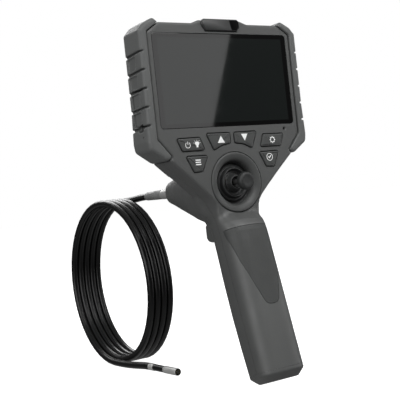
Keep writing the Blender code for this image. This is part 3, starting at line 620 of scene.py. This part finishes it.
def housing_skin():
    """The housing's whole outer skin, as one body: head, pod, nose and grip."""
    head = prism(
        "skin", rounded(HEAD_OUTLINE, 2.2, 4),
        [(0.0, 1.3), (0.12, 0.8), (0.4, 0.38), (0.8, 0.1), (1.3, 0.0), (23.2, 0.0), (24.6, 0.35), (25.6, 1.1),
         (HEAD_BACK, 2.1)],
    )
    nose = nose_cone("nose", 0.0, NOSE_SECTIONS[-1][0])
    grip = grip_column("grip", 0.0, GRIP_SECTIONS[0][0], GRIP_SECTIONS[-1][0])
    pod_outline = rounded(rectangle(17.2, 19.8, (0.0, -110.5)), 4.0)
    pod = prism("pod", pod_outline, [(6.0, 0.0), (33.0, 0.0), (36.6, 0.9)])
    brow_outline = rounded(rectangle(12.0, 9.0, (0.0, -102.0)), 2.0)
    brow = prism("brow", brow_outline, [(24.0, 0.0), (36.0, 0.0), (39.5, 1.5)])
    combine(head, "UNION", nose, grip, pod, brow)
    softened(head, 0.75, 2)
    return relax(head, blended_joins, 40)


def parting_region(name, front):
    """Everything in front of, or behind, the surface where the shells meet."""
    y = PARTING_Y - SEAM_GAP if front else PARTING_Y + SEAM_GAP
    top = grip_point(0.0, 0.0, -62.0)
    bottom = grip_point(0.0, 0.0, 90.0)
    lean = y - PARTING_Y
    line = [(y, 80.0), (y, -92.0), (top.y + lean, top.z), (bottom.y + lean, bottom.z)]
    far = -200.0 if front else 200.0
    return prism(name, line + [(far, bottom.z), (far, 80.0)], [(-200.0, 0.0), (200.0, 0.0)], axis="X")


def below_seam(name, gap):
    """Everything past the seam between the grip and its base, less a gap."""
    section = rectangle(90.0, 90.0)
    return skinned(name, [[grip_point(u, v, t) for u, v in section] for t in (GRIP_SEAM + gap, 90.0)])


BADGE_OUTLINE = [(-13.8, 36.2), (14.2, 36.2), (17.0, 39.6), (17.0, 43.8), (15.2, 45.4), (-14.8, 45.4),
                 (-17.2, 43.2), (-17.2, 41.0)]
INLAY_RADII = [0.8, 12.0, 20.0, 20.0, 6.0]
INLAY_OUTLINE = rounded(
    mirrored([(18.6, -54.5), (18.2, -47.5), (15.6, -29.5), (10.4, -10.0), (5.4, 4.7)]),
    INLAY_RADII + INLAY_RADII[::-1],
)
KEY_OUTLINES = {
    "key_power": [(-48.4, -42.0), (-28.8, -41.8), (-25.5, -51.1), (-44.5, -51.2)],
    "key_menu": [(-42.0, -55.0), (-23.7, -55.2), (-29.2, -66.3), (-36.3, -66.8)],
    "key_up": [(-22.7, -39.2), (-2.0, -39.4), (-2.0, -47.0), (-10.0, -48.3), (-17.4, -51.6)],
}
for made_of, source in (("key_settings", "key_power"), ("key_ok", "key_menu"), ("key_down", "key_up")):
    KEY_OUTLINES[made_of] = [(-u, v) for u, v in reversed(KEY_OUTLINES[source])]
LIGHT_SENSOR = (50.3, 0.0, -38.2)
JOYSTICK_Z = -76.2
HEAD_SCREWS = [(50.0, 35.9), (-50.0, 35.9), (58.0, -37.6), (-58.0, -37.6)]
GRIP_SCREWS = [(-41.0, 16.7, 20.4), (40.0, 14.1, 20.8)]
TRIGGER_Z = -112.2


def inlay_prism(name, margin):
    outline = offset(INLAY_OUTLINE, -margin)
    return skinned(name, [[grip_point(u, v, t) for u, t in outline] for v in (-30.0, -2.0)])


def post(name, point, profile, count=32):
    """A turned body from a profile of (height, radius), about an axis given by its point function."""
    return skinned(name, [[point(u, v, h) for u, v in circle(radius, count)] for h, radius in profile])


def screw_places():
    """For each screw: its point function, the height of the skin behind it and of the wall in front of it."""
    head = [
        (lambda u, v, h, x=x, z=z: Vector((x + u, h, z + v)), HEAD_BACK, SCREEN_WALL) for x, z in HEAD_SCREWS
    ]
    grip = [
        (lambda u, v, h, t=t: grip_point(u, h, t + v), behind, GRIP_WALL - before)
        for t, before, behind in GRIP_SCREWS
    ]
    return head + grip


def hollow():
    """The space inside the two shells."""
    inside = prism("hollow", offset(HEAD_OUTLINE, WALL), [(SCREEN_WALL, 0.0), (22.6, 0.0), (23.6, 1.0)])
    nose = nose_cone("nose_hollow", WALL, 83.5, 32)
    grip = grip_column("grip_hollow", WALL, -73.0, 58.0, 6.0, 32)
    return combine(inside, "UNION", nose, grip)


def port_slots():
    """The openings in the left wall for the two sockets."""
    return [
        block("slot", (-70.0, 11.1, low), (-55.0, back, high))
        for low, high, back in ((-28.9, -19.3, 15.0), (-17.9, -5.7, 13.5))
    ]


def square_opening(name, radius, low, high):
    """A cutter for the trigger's square hole."""
    side = TRIGGER_SIDE + 0.7
    outline = rounded(rectangle(side, side, (0.0, TRIGGER_Z)), radius)
    return prism(name, outline, [(low, 0.0), (high, 0.0)])


def housing():
    skin = housing_skin()
    base = twin(skin, "grip_base")
    combine(base, "INTERSECT", below_seam("base_region", SEAM_GAP / 2))
    show(base, "housing", body_plastic, ["base_cap"], sharp=50.0)
    front = combine(skin, "DIFFERENCE", below_seam("base_region", -SEAM_GAP / 2))
    front.name = "front_housing"
    rear = twin(front, "rear_housing")

    centre = (0.0, 0.0, JOYSTICK_Z)
    around_glass = rectangle(GLASS_SIZE[0] + 0.3, GLASS_SIZE[1] + 0.3)
    cuts = [
        prism("glass_recess", rounded(around_glass, GLASS_CORNER + 0.15), [(-10.0, 0.0), (2.3, 0.0)]),
        prism("window", rectangle(113.0, 64.0), [(1.0, 0.0), (9.0, 0.0)]),
        prism("badge_recess", offset(BADGE_OUTLINE, -0.35), [(-10.0, 0.0), (3.0, 0.0)]),
        turned("ring_recess", [(-40.0, 23.6), (-0.05, 22.95), (0.3, 22.75), (1.8, 22.7)],
               centre=centre, count=128),
        turned("well", [(0.0, 17.9), (12.0, 17.9)], centre=centre),
        turned("sensor_hole", [(-10.0, 1.6), (0.0, 1.6), (0.5, 1.15), (12.0, 1.15)],
               centre=LIGHT_SENSOR, count=32),
    ]
    for outline in KEY_OUTLINES.values():
        shape = rounded(outline, KEY_CORNER)
        cuts.append(prism("key_hole", shape, [(-10.0, -0.75), (0.05, -0.75), (0.5, -0.35), (9.0, -0.35)]))
    pocket = combine(inlay_prism("inlay_pocket", 0.12), "DIFFERENCE", grip_column("floor", 1.9, -66.0, 30.0))
    combine(front, "INTERSECT", parting_region("front_region", True))
    combine(front, "DIFFERENCE", hollow(), *cuts, pocket, *port_slots())
    show(front, "housing", body_plastic, ["front_shell"], sharp=50.0)

    back_panel = rounded(rectangle(78.0, 36.0, (0.0, 8.0)), 5.0)
    cuts = [
        turned("ferrule_hole", [(77.0, 4.5), (89.2, 4.5), (90.2, 5.2), (120.0, 5.2)],
               centre=(0.0, 0.0, PROBE_Z)),
        square_opening("trigger_guide", 1.0, -5.0, 60.0),
        prism("back_panel", back_panel, [(HEAD_BACK - 0.55, 0.5), (HEAD_BACK - 0.1, 0.0), (40.0, 0.0)]),
    ]
    for k in range(10):
        vent = rounded(rectangle(1.6, 11.0, (-18.0 + 4.0 * k, -28.0)), 0.75)
        cuts.append(prism("vent", vent, [(20.0, 0.0), (40.0, 0.0)]))
    for point, back, _ in screw_places():
        cuts.append(post("counterbore", point, [(back - 3.3, 2.85), (back + 5.0, 2.85)]))
    combine(rear, "INTERSECT", parting_region("rear_region", False))
    combine(rear, "DIFFERENCE", hollow(), *cuts, *port_slots())
    show(rear, "housing", body_plastic, ["rear_shell"], sharp=50.0)


housing()


def screws():
    for number, (point, back, inner_front) in enumerate(screw_places(), start=1):
        low = back - 3.0
        screw = post(f"cover_screw_{number}", point, [
            (inner_front + 3.0, 1.0), (inner_front + 3.4, 1.2), (low, 1.2), (low, 2.5), (low + 1.2, 2.5),
            (low + 1.5, 2.35), (low + 1.6, 2.1),
        ], 40)
        hexagon = post("hexagon", point, [(low + 0.4, 1.15), (low + 1.45, 1.15), (low + 1.9, 1.5)], 6)
        combine(screw, "DIFFERENCE", hexagon)
        show(screw, "housing", screw_steel, [f"case_screw_{number}"])


screws()


def grip_inlay():
    pad = combine(inlay_prism("grip_pad", 0.0), "INTERSECT", grip_column("skin", 0.05, -66.0, 30.0, 2.0))
    combine(pad, "DIFFERENCE", grip_column("floor", 1.4, -68.0, 32.0, 2.0))
    softened(pad, 0.34, 1, 0.3)
    show(pad, "housing", pad_rubber, ["grip_inlay"], sharp=180.0)


grip_inlay()


def badge():
    plate = prism("blank_badge", rounded(BADGE_OUTLINE, 0.8, 3),
                  [(-1.3, 0.9), (-1.22, 0.7), (-0.9, 0.35), (-0.5, 0.1), (-0.2, 0.0), (2.6, 0.0)])
    notches = []
    for k in range(28):
        x = -13.2 + 0.98 * k
        notches.append(block("notch", (x, -3.0, 35.0), (x + 0.45, 0.3, 36.9)))
    end = [(9.4, 37.2), (13.9, 37.2), (16.1, 39.9), (16.1, 43.4), (14.8, 44.5), (7.6, 44.5)]
    notches.append(prism("end_pocket", offset(rounded(end, 0.6, 3), -0.1), [(-4.0, 0.0), (-0.6, 0.0)]))
    combine(plate, "DIFFERENCE", *notches)
    show(plate, "housing", satin_black, ["badge_plate"])
    window = prism("badge_end_window", rounded(end, 0.6, 3), [(-1.28, 0.25), (-1.15, 0.0), (-0.7, 0.0)])
    show(window, "housing", badge_black)


badge()

# ---- side guards

GUARD_OUTLINE = mirrored([
    (0.0, 36.0), (50.0, 39.4), (57.6, 45.3), (66.0, 41.0), (70.7, 35.8), (70.7, -20.0), (71.7, -43.0),
    (70.8, -48.9), (57.4, -58.0), (48.0, -50.6), (0.0, -45.0),
])
GROOVES_Z = [21.8 - 13.18 * k for k in range(5)]
GROOVE_FLOOR, PANEL_FLOOR = 68.1, 69.5  # how far out from the middle
OUTSIDE = 80.0
PORT_Z = (-30.4, -5.2)
PORT_Y = (6.4, 18.6)


def groove_height(z, y):
    """Where a groove lies at a depth: it falls a little towards the back."""
    return z - 0.6 - 0.07 * y


def from_side(name, outline, side, depth):
    """A cutter that reaches from outside a guard in to a depth."""
    return prism(name, outline, sorted(((depth * side, 0.0), (OUTSIDE * side, 0.0))), axis="X")


def guard_cuts(side):
    """The grooves round a guard's outer edge, and the shallow panels between them."""
    cuts = []
    for z in GROOVES_Z:
        half = [(-3.0, 0.55), (6.0, 0.9), (30.0, 1.15)]
        lower = [(y, groove_height(z, y) - h) for y, h in half]
        upper = [(y, groove_height(z, y) + h) for y, h in reversed(half)]
        cuts.append(from_side("groove", lower + upper, side, GROOVE_FLOOR))
    for high, low in zip(GROOVES_Z, GROOVES_Z[1:]):
        corners = [(9.6, groove_height(low, 9.6) + 2.0), (19.5, groove_height(low, 19.5) + 2.0),
                   (19.5, groove_height(high, 19.5) - 2.0), (8.2, groove_height(high, 8.2) - 2.0)]
        cuts.append(from_side("panel", rounded(corners, 1.0, 3), side, PANEL_FLOOR))
    return cuts


def finger_notch():
    """Where a fingernail gets under the port flap's lower edge."""
    outline = rounded(rectangle(8.4, 6.0, (9.8, -32.4)), 2.2, 3)
    return prism("finger_notch", outline, [(-OUTSIDE, 0.0), (-65.2, 0.3)], axis="X")


def guard(side):
    name = "right_side_guard" if side > 0 else "left_side_guard"
    radii = [2.0 if v > 0 else 4.0 for _, v in GUARD_OUTLINE]
    made = prism(name, rounded(GUARD_OUTLINE, radii, 5), [
        (-0.9, 2.6), (-0.8, 1.9), (-0.45, 1.1), (0.1, 0.45), (0.9, 0.1), (1.8, 0.0), (20.6, 0.0), (22.4, 0.5),
        (23.7, 1.6), (24.4, 3.0),
    ])
    core = prism("core", offset(HEAD_OUTLINE, -0.3), [(-20.0, 0.0), (60.0, 0.0)])
    other_half = block("other_half", (-200.0 if side > 0 else -40.0, -200.0, -200.0),
                       (40.0 if side > 0 else 200.0, 200.0, 200.0))
    cuts = guard_cuts(side)
    if side < 0:
        low, high = (PORT_Y[0] - 0.3, PORT_Z[0] - 0.3), (PORT_Y[1] + 0.3, PORT_Z[1] + 0.3)
        cuts += [block("port_window", (-OUTSIDE, *low), (-60.0, *high)), finger_notch()]
    combine(made, "DIFFERENCE", core, other_half, *cuts)
    softened(made, 0.5, 2)
    if side < 0:
        reset_hole = turned("reset_hole", [(-OUTSIDE, 0.65), (-68.0, 0.65)], "X", (0.0, 6.0, -39.2), 24)
        combine(made, "DIFFERENCE", reset_hole)
    body = "right_bumper" if side > 0 else "left_bumper"
    show(made, "housing", guard_rubber, [body], sharp=70.0)


guard(-1)
guard(1)


def port_cover():
    low, high = (PORT_Y[0] + 0.05, PORT_Z[0] + 0.05), (PORT_Y[1] - 0.05, PORT_Z[1] - 0.3)
    cover = block("port_cover_flap", (-70.6, *low), (-67.0, *high))
    combine(cover, "DIFFERENCE", *guard_cuts(-1), finger_notch())
    softened(cover, 0.3, 3)
    show(cover, "port_flap", guard_rubber, ["port_cover"], sharp=180.0)


port_cover()

# ---- screen

def screen():
    glass = prism("cover_glass_plate", rounded(rectangle(*GLASS_SIZE), GLASS_CORNER, 8),
                  [(0.3, 1.2), (0.3, 0.35), (0.36, 0.12), (0.55, 0.0), (1.3, 0.0)])
    show(glass, "housing", glass_black, ["screen_glass"], sharp=12.0)
    sensor = turned("light_sensor_window", [(0.95, 0.1), (0.75, 0.5), (0.5, 0.8), (0.7, 0.95), (7.0, 0.95)],
                    centre=LIGHT_SENSOR, count=32)
    show(sensor, "housing", lens_black, ["light_sensor"], sharp=40.0)


screen()

# ---- keys

def sector(radius, inner, start, end, steps=28):
    """A band between two radii, from one angle to another, in degrees."""
    angles = [math.radians(start + (end - start) * k / steps) for k in range(steps + 1)]
    return (
        [(radius * math.cos(a), radius * math.sin(a)) for a in angles]
        + [(inner * math.cos(a), inner * math.sin(a)) for a in reversed(angles)]
    )


def bar(width, height, centre, angle=0.0):
    c, s = math.cos(math.radians(angle)), math.sin(math.radians(angle))
    return [(centre[0] + u * c - v * s, centre[1] + u * s + v * c) for u, v in rectangle(width, height)]


def gear_rim():
    """A cog's outline as one band with eight teeth."""
    outer = []
    for k in range(8):
        for turn, radius in ((-13.0, 2.05), (-9.0, 2.6), (9.0, 2.6), (13.0, 2.05)):
            angle = math.radians(45.0 * k + turn)
            outer.append((radius * math.cos(angle), radius * math.sin(angle)))
    return outer


ICONS = {  # for each key, its icons: x, z and shapes, each an outline or an outline and the hole in it
    "key_power": [
        (-39.9, -46.9, [sector(2.2, 1.8, 122.0, 418.0), bar(0.42, 2.3, (0.0, 1.5))]),
        (-31.9, -46.5, [
            [(0.0, -2.3), (0.75, -2.3), (0.85, -1.0), (1.75, 0.0), (1.9, 0.8), (1.4, 1.65), (0.6, 1.95),
             (-0.6, 1.95), (-1.4, 1.65), (-1.9, 0.8), (-1.75, 0.0), (-0.85, -1.0), (-0.75, -2.3)],
            *[bar(0.8, 0.26, (x, z), angle) for x, z, angle in (
                (2.6, 1.0, 0.0), (-2.6, 1.0, 0.0), (0.0, 2.75, 90.0), (1.9, 2.35, 45.0), (-1.9, 2.35, -45.0),
            )],
        ]),
    ],
    "key_up": [(-10.6, -44.2, [[(-3.2, -2.4), (3.2, -2.4), (0.0, 2.9)]])],
    "key_down": [(10.9, -43.2, [[(-3.0, 2.5), (0.0, -2.8), (3.0, 2.5)]])],
    "key_settings": [(37.0, -46.4, [(gear_rim(), circle(1.55, 32))])],
    "key_menu": [(-32.6, -59.6, [bar(4.6, 0.75, (0.0, z)) for z in (1.6, 0.0, -1.6)])],
    "key_ok": [(32.6, -59.4, [
        (circle(2.9, 48), circle(2.45, 48)),
        [(-1.5, 0.1), (-1.05, 0.55), (-0.35, -0.15), (1.15, 1.45), (1.6, 1.0), (-0.35, -1.1)],
    ])],
}


def icon(name, x, z, shapes):
    """A printed sign at a place on the keypad, as one piece."""
    parts = []
    for shape in shapes:
        outline, *holes = shape if isinstance(shape, tuple) else (shape,)
        part = prism("part", outline, [(-0.80, 0.0), (-0.60, 0.0)])
        for hole in holes:
            combine(part, "DIFFERENCE", prism("hole", hole, [(-3.0, 0.0), (3.0, 0.0)]))
        part.data.transform(Matrix.Translation((x, 0.0, z)))
        parts.append(part)
    made = parts[0]
    if len(parts) > 1:
        combine(made, "UNION", *parts[1:])
    made.name = name
    return made


def keys():
    for name, outline in KEY_OUTLINES.items():
        shape = offset(rounded(outline, KEY_CORNER), 0.12)
        cap = prism(f"{name}_cap_moulding", shape,
                    [(-0.74, 1.2), (-0.7, 0.62), (-0.6, 0.3), (-0.42, 0.1), (-0.15, 0.0), (4.9, 0.0)])
        flange = prism("flange", offset(shape, -0.8), [(3.9, 0.0), (4.8, 0.0)])
        show(combine(cap, "UNION", flange), f"{name}_cap", key_rubber, [name], sharp=35.0)
        for number, (x, z, shapes) in enumerate(ICONS[name], start=1):
            sign = icon(f"{name}_icon_{number}", x, z, shapes)
            show(sign, f"{name}_cap", print_white)


keys()

# ---- joystick

def joystick():
    centre = (0.0, 0.0, JOYSTICK_Z)
    inner = curved([
        (9.0, 16.4), (6.6, 16.1), (4.6, 15.85), (3.0, 15.95), (1.7, 16.5), (0.7, 17.4), (0.05, 18.6),
        (-0.35, 19.8), (-0.55, 20.9),
    ])
    ring = turned_ring("joystick_bezel_ring", [
        (-0.6, 21.4), (-0.52, 21.85), (-0.3, 22.15), (0.0, 22.3), (1.5, 22.3), (1.5, 18.6), (3.4, 17.75),
        (9.0, 17.55), *inner,
    ], centre=centre, count=144)
    show(ring, "housing", ring_plastic, ["joystick_ring"], sharp=45.0)

    skin = curved([
        (6.9, 16.3), (7.0, 15.2), (6.3, 14.0), (5.3, 13.3), (5.6, 12.5), (5.2, 11.7), (3.0, 11.1),
        (2.2, 10.5), (2.9, 9.9), (4.9, 9.3), (5.5, 8.4), (5.0, 7.3),
    ])
    under = [(y + 0.75, r) for y, r in reversed(skin)]
    boot = turned_ring("joystick_bellows", skin + under, centre=centre, count=96)
    show(boot, None, boot_rubber, ["joystick_boot"], sharp=60.0)
    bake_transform(boot)

    skin = curved([
        (4.4, 6.95), (3.8, 6.4), (2.0, 5.6), (0.6, 5.15), (0.15, 4.7), (0.6, 4.25), (2.0, 3.8), (3.1, 3.1),
        (3.3, 2.25),
    ])
    under = [(y + 0.7, r - 0.1) for y, r in reversed(skin)]
    under[0] = (under[0][0], 2.25)
    collar = turned_ring("joystick_collar_bellows", skin + under, centre=centre, count=80)
    show(collar, None, boot_rubber, ["joystick_collar"], sharp=60.0)
    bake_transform(collar)

    stick = turned("joystick_shaft", [(-9.9, 1.7), (-9.7, 1.9), (13.2, 1.9), (13.5, 1.6)],
                   centre=centre, count=40)
    show(stick, "joystick", nylon, ["joystick_stick"])
    profile = curved([
        (-13.75, 0.6), (-13.8, 2.2), (-13.95, 3.4), (-14.05, 4.3), (-13.9, 5.2), (-13.4, 6.0), (-12.6, 6.45),
        (-11.6, 6.6), (-9.6, 6.5), (-8.4, 6.05), (-7.2, 5.25), (-6.4, 4.3),
    ])
    knob = turned_ring("joystick_thumb_knob", [
        *profile, (-6.2, 3.6), (-6.2, 2.2), (-10.2, 2.2), (-10.2, 0.6),
    ], centre=centre, count=96)
    show(knob, "joystick", knob_rubber, ["joystick_knob"], sharp=50.0)
    plug = turned("joystick_knob_centre", [(-13.77, 0.3), (-13.75, 0.7), (-10.4, 0.7)],
                  centre=centre, count=32)
    show(plug, "joystick", knob_rubber)


joystick()

# ---- trigger

def trigger():
    outline = rounded(rectangle(TRIGGER_SIDE, TRIGGER_SIDE, (0.0, TRIGGER_Z)), 2.0, 4)
    button = prism("trigger_button_moulding", outline, [
        (16.0, 1.0), (16.5, 0.3), (17.2, 0.0), (38.6, 0.0), (39.8, 0.35), (40.6, 1.1), (41.0, 2.2),
    ])
    grooves = []
    for k in range(4):
        outline = rectangle(8.6, 0.75, (0.0, TRIGGER_Z - 3.2 + 2.13 * k))
        grooves.append(prism("groove", outline, [(40.3, 0.0), (45.0, 0.0)]))
    combine(button, "DIFFERENCE", *grooves)
    softened(button, 0.28, 2)
    show(button, "trigger_button", trigger_plastic, ["trigger"], sharp=180.0)
    seal = prism("trigger_wiper_seal", rounded(rectangle(16.0, 14.0, (0.0, TRIGGER_Z)), 3.5),
                 [(35.2, 0.9), (36.6, 0.9), (36.9, 1.1), (37.1, 1.4)])
    combine(seal, "DIFFERENCE", square_opening("opening", 2.0, 20.0, 50.0))
    show(seal, "housing", boot_rubber, ["trigger_seal"], sharp=35.0)


trigger()

# ---- probe and tip

def grooved(profile, at, depth, width):
    """A rising profile of (height, radius) with a narrow groove cut in it at a height."""
    read = []
    for (h0, r0), (h1, r1) in zip(profile, profile[1:]):
        read.append((h0, r0))
        if h0 < at - width and at + width < h1:
            radius = r0 + (r1 - r0) * (at - h0) / (h1 - h0)
            read += [(at - width, radius), (at - width / 2, radius - depth),
                     (at + width / 2, radius - depth), (at + width, radius)]
    return read + [profile[-1]]


def probe_fittings():
    centre = (0.0, 0.0, PROBE_Z)
    profile = [(83.2, 4.2), (107.2, 4.2), (107.9, 4.05), (108.2, 3.75)]
    for at in (93.0, 94.6, 96.2):
        profile = grooved(profile, at, 0.18, 0.35)
    ferrule = turned("probe_exit_ferrule", [
        (98.4, 3.3), (81.6, 3.3), (81.6, 5.6), (83.2, 5.6), *profile, (108.25, 3.3),
    ], centre=centre)
    show(ferrule, "housing", satin_nickel, ["probe_ferrule"])
    profile = [(108.5, 3.3), (108.6, 3.7), (109.0, 3.95), (109.7, 4.02), (132.0, 3.62), (134.6, 3.56),
               (135.3, 3.35), (SLEEVE_END, 3.1)]
    for k in range(5):
        profile = grooved(profile, 113.0 + 1.7 * k, 0.22, 0.45)
    sleeve = turned("strain_relief_sleeve", profile, centre=centre)
    show(sleeve, "housing", sleeve_grey, ["probe_sleeve"])


probe_fittings()


FIRST_PIN = 105.55
PIN_STEP = 4.6


def neck_sleeves(axis_at):
    """The black sleeve over the knuckles, as one piece for each pin."""
    ends = [107.0, 103.25, 98.65, 94.05, 90.3]
    sleeves = []
    for k in range(4):
        along = np.linspace(ends[k], ends[k + 1], 13)
        profile = [(y, 2.74) for y in along] + [(y, 2.4) for y in reversed(along)]
        sleeve = turned_ring(f"neck_sleeve_{k + 1}", profile, centre=axis_at, count=48)
        show(sleeve, None, tube_black)
        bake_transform(sleeve)
        sleeves.append(sleeve)
    return sleeves


def bending_tip():
    axis_at = (TIP_X, 0.0, TIP_Z)
    waist, shoulder, knuckle, taper = 1.1, 1.6, 2.1, 1.1
    pieces = []

    def add(piece, body, finish, nodes=()):
        pieces.append(show(piece, body, finish, nodes))

    band = turned("tube_end_band", [
        (BAND_END, 2.85), (114.3, 2.98), (114.1, 3.02), (112.9, 3.02), (112.7, 2.9), (112.4, 2.9),
        (112.2, 3.02), (107.9, 3.02), (107.6, 2.95), (107.4, 2.8), (107.1, 2.8), (106.4, 1.9),
        (105.8, waist),
    ], centre=axis_at)
    add(band, "housing", steel, ["tip_band"])
    for number in (1, 2, 3):
        start = FIRST_PIN - 0.25 - PIN_STEP * (number - 1)
        end = start - PIN_STEP + 0.5
        link = turned(f"neck_knuckle_{number}", [
            (start, waist), (start - 0.5, shoulder), (start - taper, knuckle), (end + taper, knuckle),
            (end + 0.5, shoulder), (end, waist),
        ], centre=axis_at, count=48)
        add(link, f"neck_{number}", satin_black, [f"neck_link_{number}"])
    pieces += neck_sleeves(axis_at)
    start = FIRST_PIN - 0.25 - PIN_STEP * 3
    head = turned("camera_barrel", [
        (start, waist), (start - 0.5, 2.0), (start - taper, 2.8), (start - 1.5, 2.98), (86.0, 3.0),
        (85.8, 2.86), (85.5, 2.86), (85.3, 3.0), (71.0, 3.0), (70.6, 2.98), (70.4, 2.9), (70.3, 2.78),
        (71.1, 2.75),
    ], centre=axis_at)
    add(head, "tip_camera", steel, ["camera_head"])
    window = turned("camera_window", [(70.95, 2.7), (70.4, 2.7), (70.2, 2.5)], centre=axis_at, count=48)
    add(window, "tip_camera", lens_black, ["lens_window"])
    lens = turned_ring("camera_lens_ring", [
        (70.21, 0.55), (70.05, 0.7), (70.05, 1.0), (70.21, 1.1), (70.3, 1.1), (70.3, 0.55),
    ], centre=axis_at, count=48)
    add(lens, "tip_camera", satin_black)
    for k in range(6):
        angle = math.radians(60.0 * k + 30.0)
        at = (TIP_X + 1.55 * math.cos(angle), 0.0, TIP_Z + 1.55 * math.sin(angle))
        led = turned(f"camera_light_{k + 1}", [(70.3, 0.3), (70.12, 0.28), (70.1, 0.2)], centre=at, count=20)
        add(led, "tip_camera", led_yellow)
    return pieces


tip_pieces = bending_tip()

# ---- inside

INSIDE = [
    (foam, "screen_gasket"), (gloss_black, "display_panel"), (board_green, "keypad_board", "main_board"),
    (natural_nylon, "joystick_yoke", "steering_drum_left", "steering_drum_right"),
    (satin_black, "joystick_base", "trigger_switch"), (cell_blue, "battery_cell"),
    (tin, "processor_shield", "usb_socket", "card_socket", "battery_clip", "steering_motor_left",
     "steering_motor_right"), (tube_black, "probe_core"),
]
for finish, *nodes in INSIDE:
    for node in nodes:
        kept = frame["nodes"][node]
        kept.data.materials.clear()
        kept.data.materials.append(finish)

# ---- floor and light

FLOOR_Z = min(cad_box[0].z, place(0.0, 0.0, -226.0).z)


def floor():
    """A white floor, bright enough round the object that only soft shadows show on it."""
    mesh = bmesh.new()
    bmesh.ops.create_grid(mesh, x_segments=8, y_segments=8, size=30.0)
    made = new_object("floor", mesh)
    made.location = (0.0, 0.0, FLOOR_Z)
    paint = look("floor_white", (0.45, 0.45, 0.45), 0.9, mottle=0.005)
    nodes, links = paint.node_tree.nodes, paint.node_tree.links
    shader = nodes["Principled BSDF"]
    shader.inputs["Emission Color"].default_value = (1.0, 1.0, 1.0, 1.0)
    where = nodes.new("ShaderNodeTexCoord")
    distance = nodes.new("ShaderNodeVectorMath")
    distance.operation = "LENGTH"
    links.new(where.outputs["Object"], distance.inputs[0])
    glow = map_range(paint, distance.outputs["Value"], 0.25, 0.70, 0.97, 1.0, smooth=True)
    links.new(glow, shader.inputs["Emission Strength"])
    made.data.materials.append(paint)
    made.visible_diffuse = False
    made.visible_glossy = False


def world():
    """White to the camera, and dim as a light: paler above and below than at the horizon."""
    made = bpy.data.worlds.new("studio")
    made.use_nodes = True
    nodes, links = made.node_tree.nodes, made.node_tree.links
    background = nodes["Background"]
    where = nodes.new("ShaderNodeTexCoord")
    split = nodes.new("ShaderNodeSeparateXYZ")
    links.new(where.outputs["Generated"], split.inputs["Vector"])
    shade = nodes.new("ShaderNodeValToRGB")
    shade.color_ramp.interpolation = "EASE"
    stops = shade.color_ramp.elements
    stops[0].color = (0.42, 0.42, 0.42, 1.0)
    stops[1].color = (0.45, 0.45, 0.45, 1.0)
    stops.new(0.5).color = (0.08, 0.08, 0.08, 1.0)
    links.new(map_range(made, split.outputs["Z"], -1.0, 1.0), shade.inputs["Fac"])
    ray = nodes.new("ShaderNodeLightPath")
    seen = mixed(made, ray.outputs["Is Camera Ray"], shade.outputs["Color"], (1.0, 1.0, 1.0))
    links.new(seen, background.inputs["Color"])
    bpy.context.scene.world = made


def area_light(name, turn, location, size, radiance):
    """A rectangular softbox that shines along its own -Z, of the given radiance."""
    data = bpy.data.lights.new(name, "AREA")
    data.shape = "RECTANGLE"
    data.size, data.size_y = size
    data.energy = radiance * math.pi * size[0] * size[1]
    made = bpy.data.objects.new(name, data)
    made.visible_camera = False
    made.matrix_world = Matrix.Translation(location) @ turn.to_4x4()
    bpy.context.scene.collection.objects.link(made)


def softbox(name, location, size, radiance):
    """A light that faces the object's middle."""
    turn = (Vector((0.0, 0.05, 0.06)) - Vector(location)).to_track_quat("-Z", "Y").to_matrix()
    area_light(name, turn, location, size, radiance)


def lights():
    softbox("top_softbox", (0.15, -0.95, 1.15), (1.2, 1.0), 4.8)
    softbox("left_softbox", (-1.45, -0.25, 0.55), (0.9, 1.1), 3.7)
    softbox("left_strip", (-1.2, -0.8, 0.2), (0.22, 1.1), 5.0)
    softbox("right_softbox", (1.5, -0.45, 0.35), (0.5, 1.2), 2.6)
    softbox("back_softbox", (0.3, 1.5, 1.1), (1.2, 0.8), 5.5)
    # the card whose edge shows across the cover glass: upright, turned by one angle and rolled by another
    heading, roll = math.radians(33.085), math.radians(16.696)
    level = Vector((math.cos(heading), math.sin(heading), 0.0))
    upright = Vector((0.0, 0.0, 1.0))
    along = level * math.sin(roll) + upright * math.cos(roll)
    across = upright * math.sin(roll) - level * math.cos(roll)
    edge = Vector((0.556, -0.8187, 0.2233))
    length, width = 0.34, 0.26
    middle = edge + along * (length / 2 - 0.08) + across * (width / 2)
    turn = Matrix((along, across, along.cross(across))).transposed()
    area_light("glass_card", turn, middle, (length, width), 1.6)


floor()
world()
lights()
bpy.context.scene.view_settings.view_transform = "Standard"
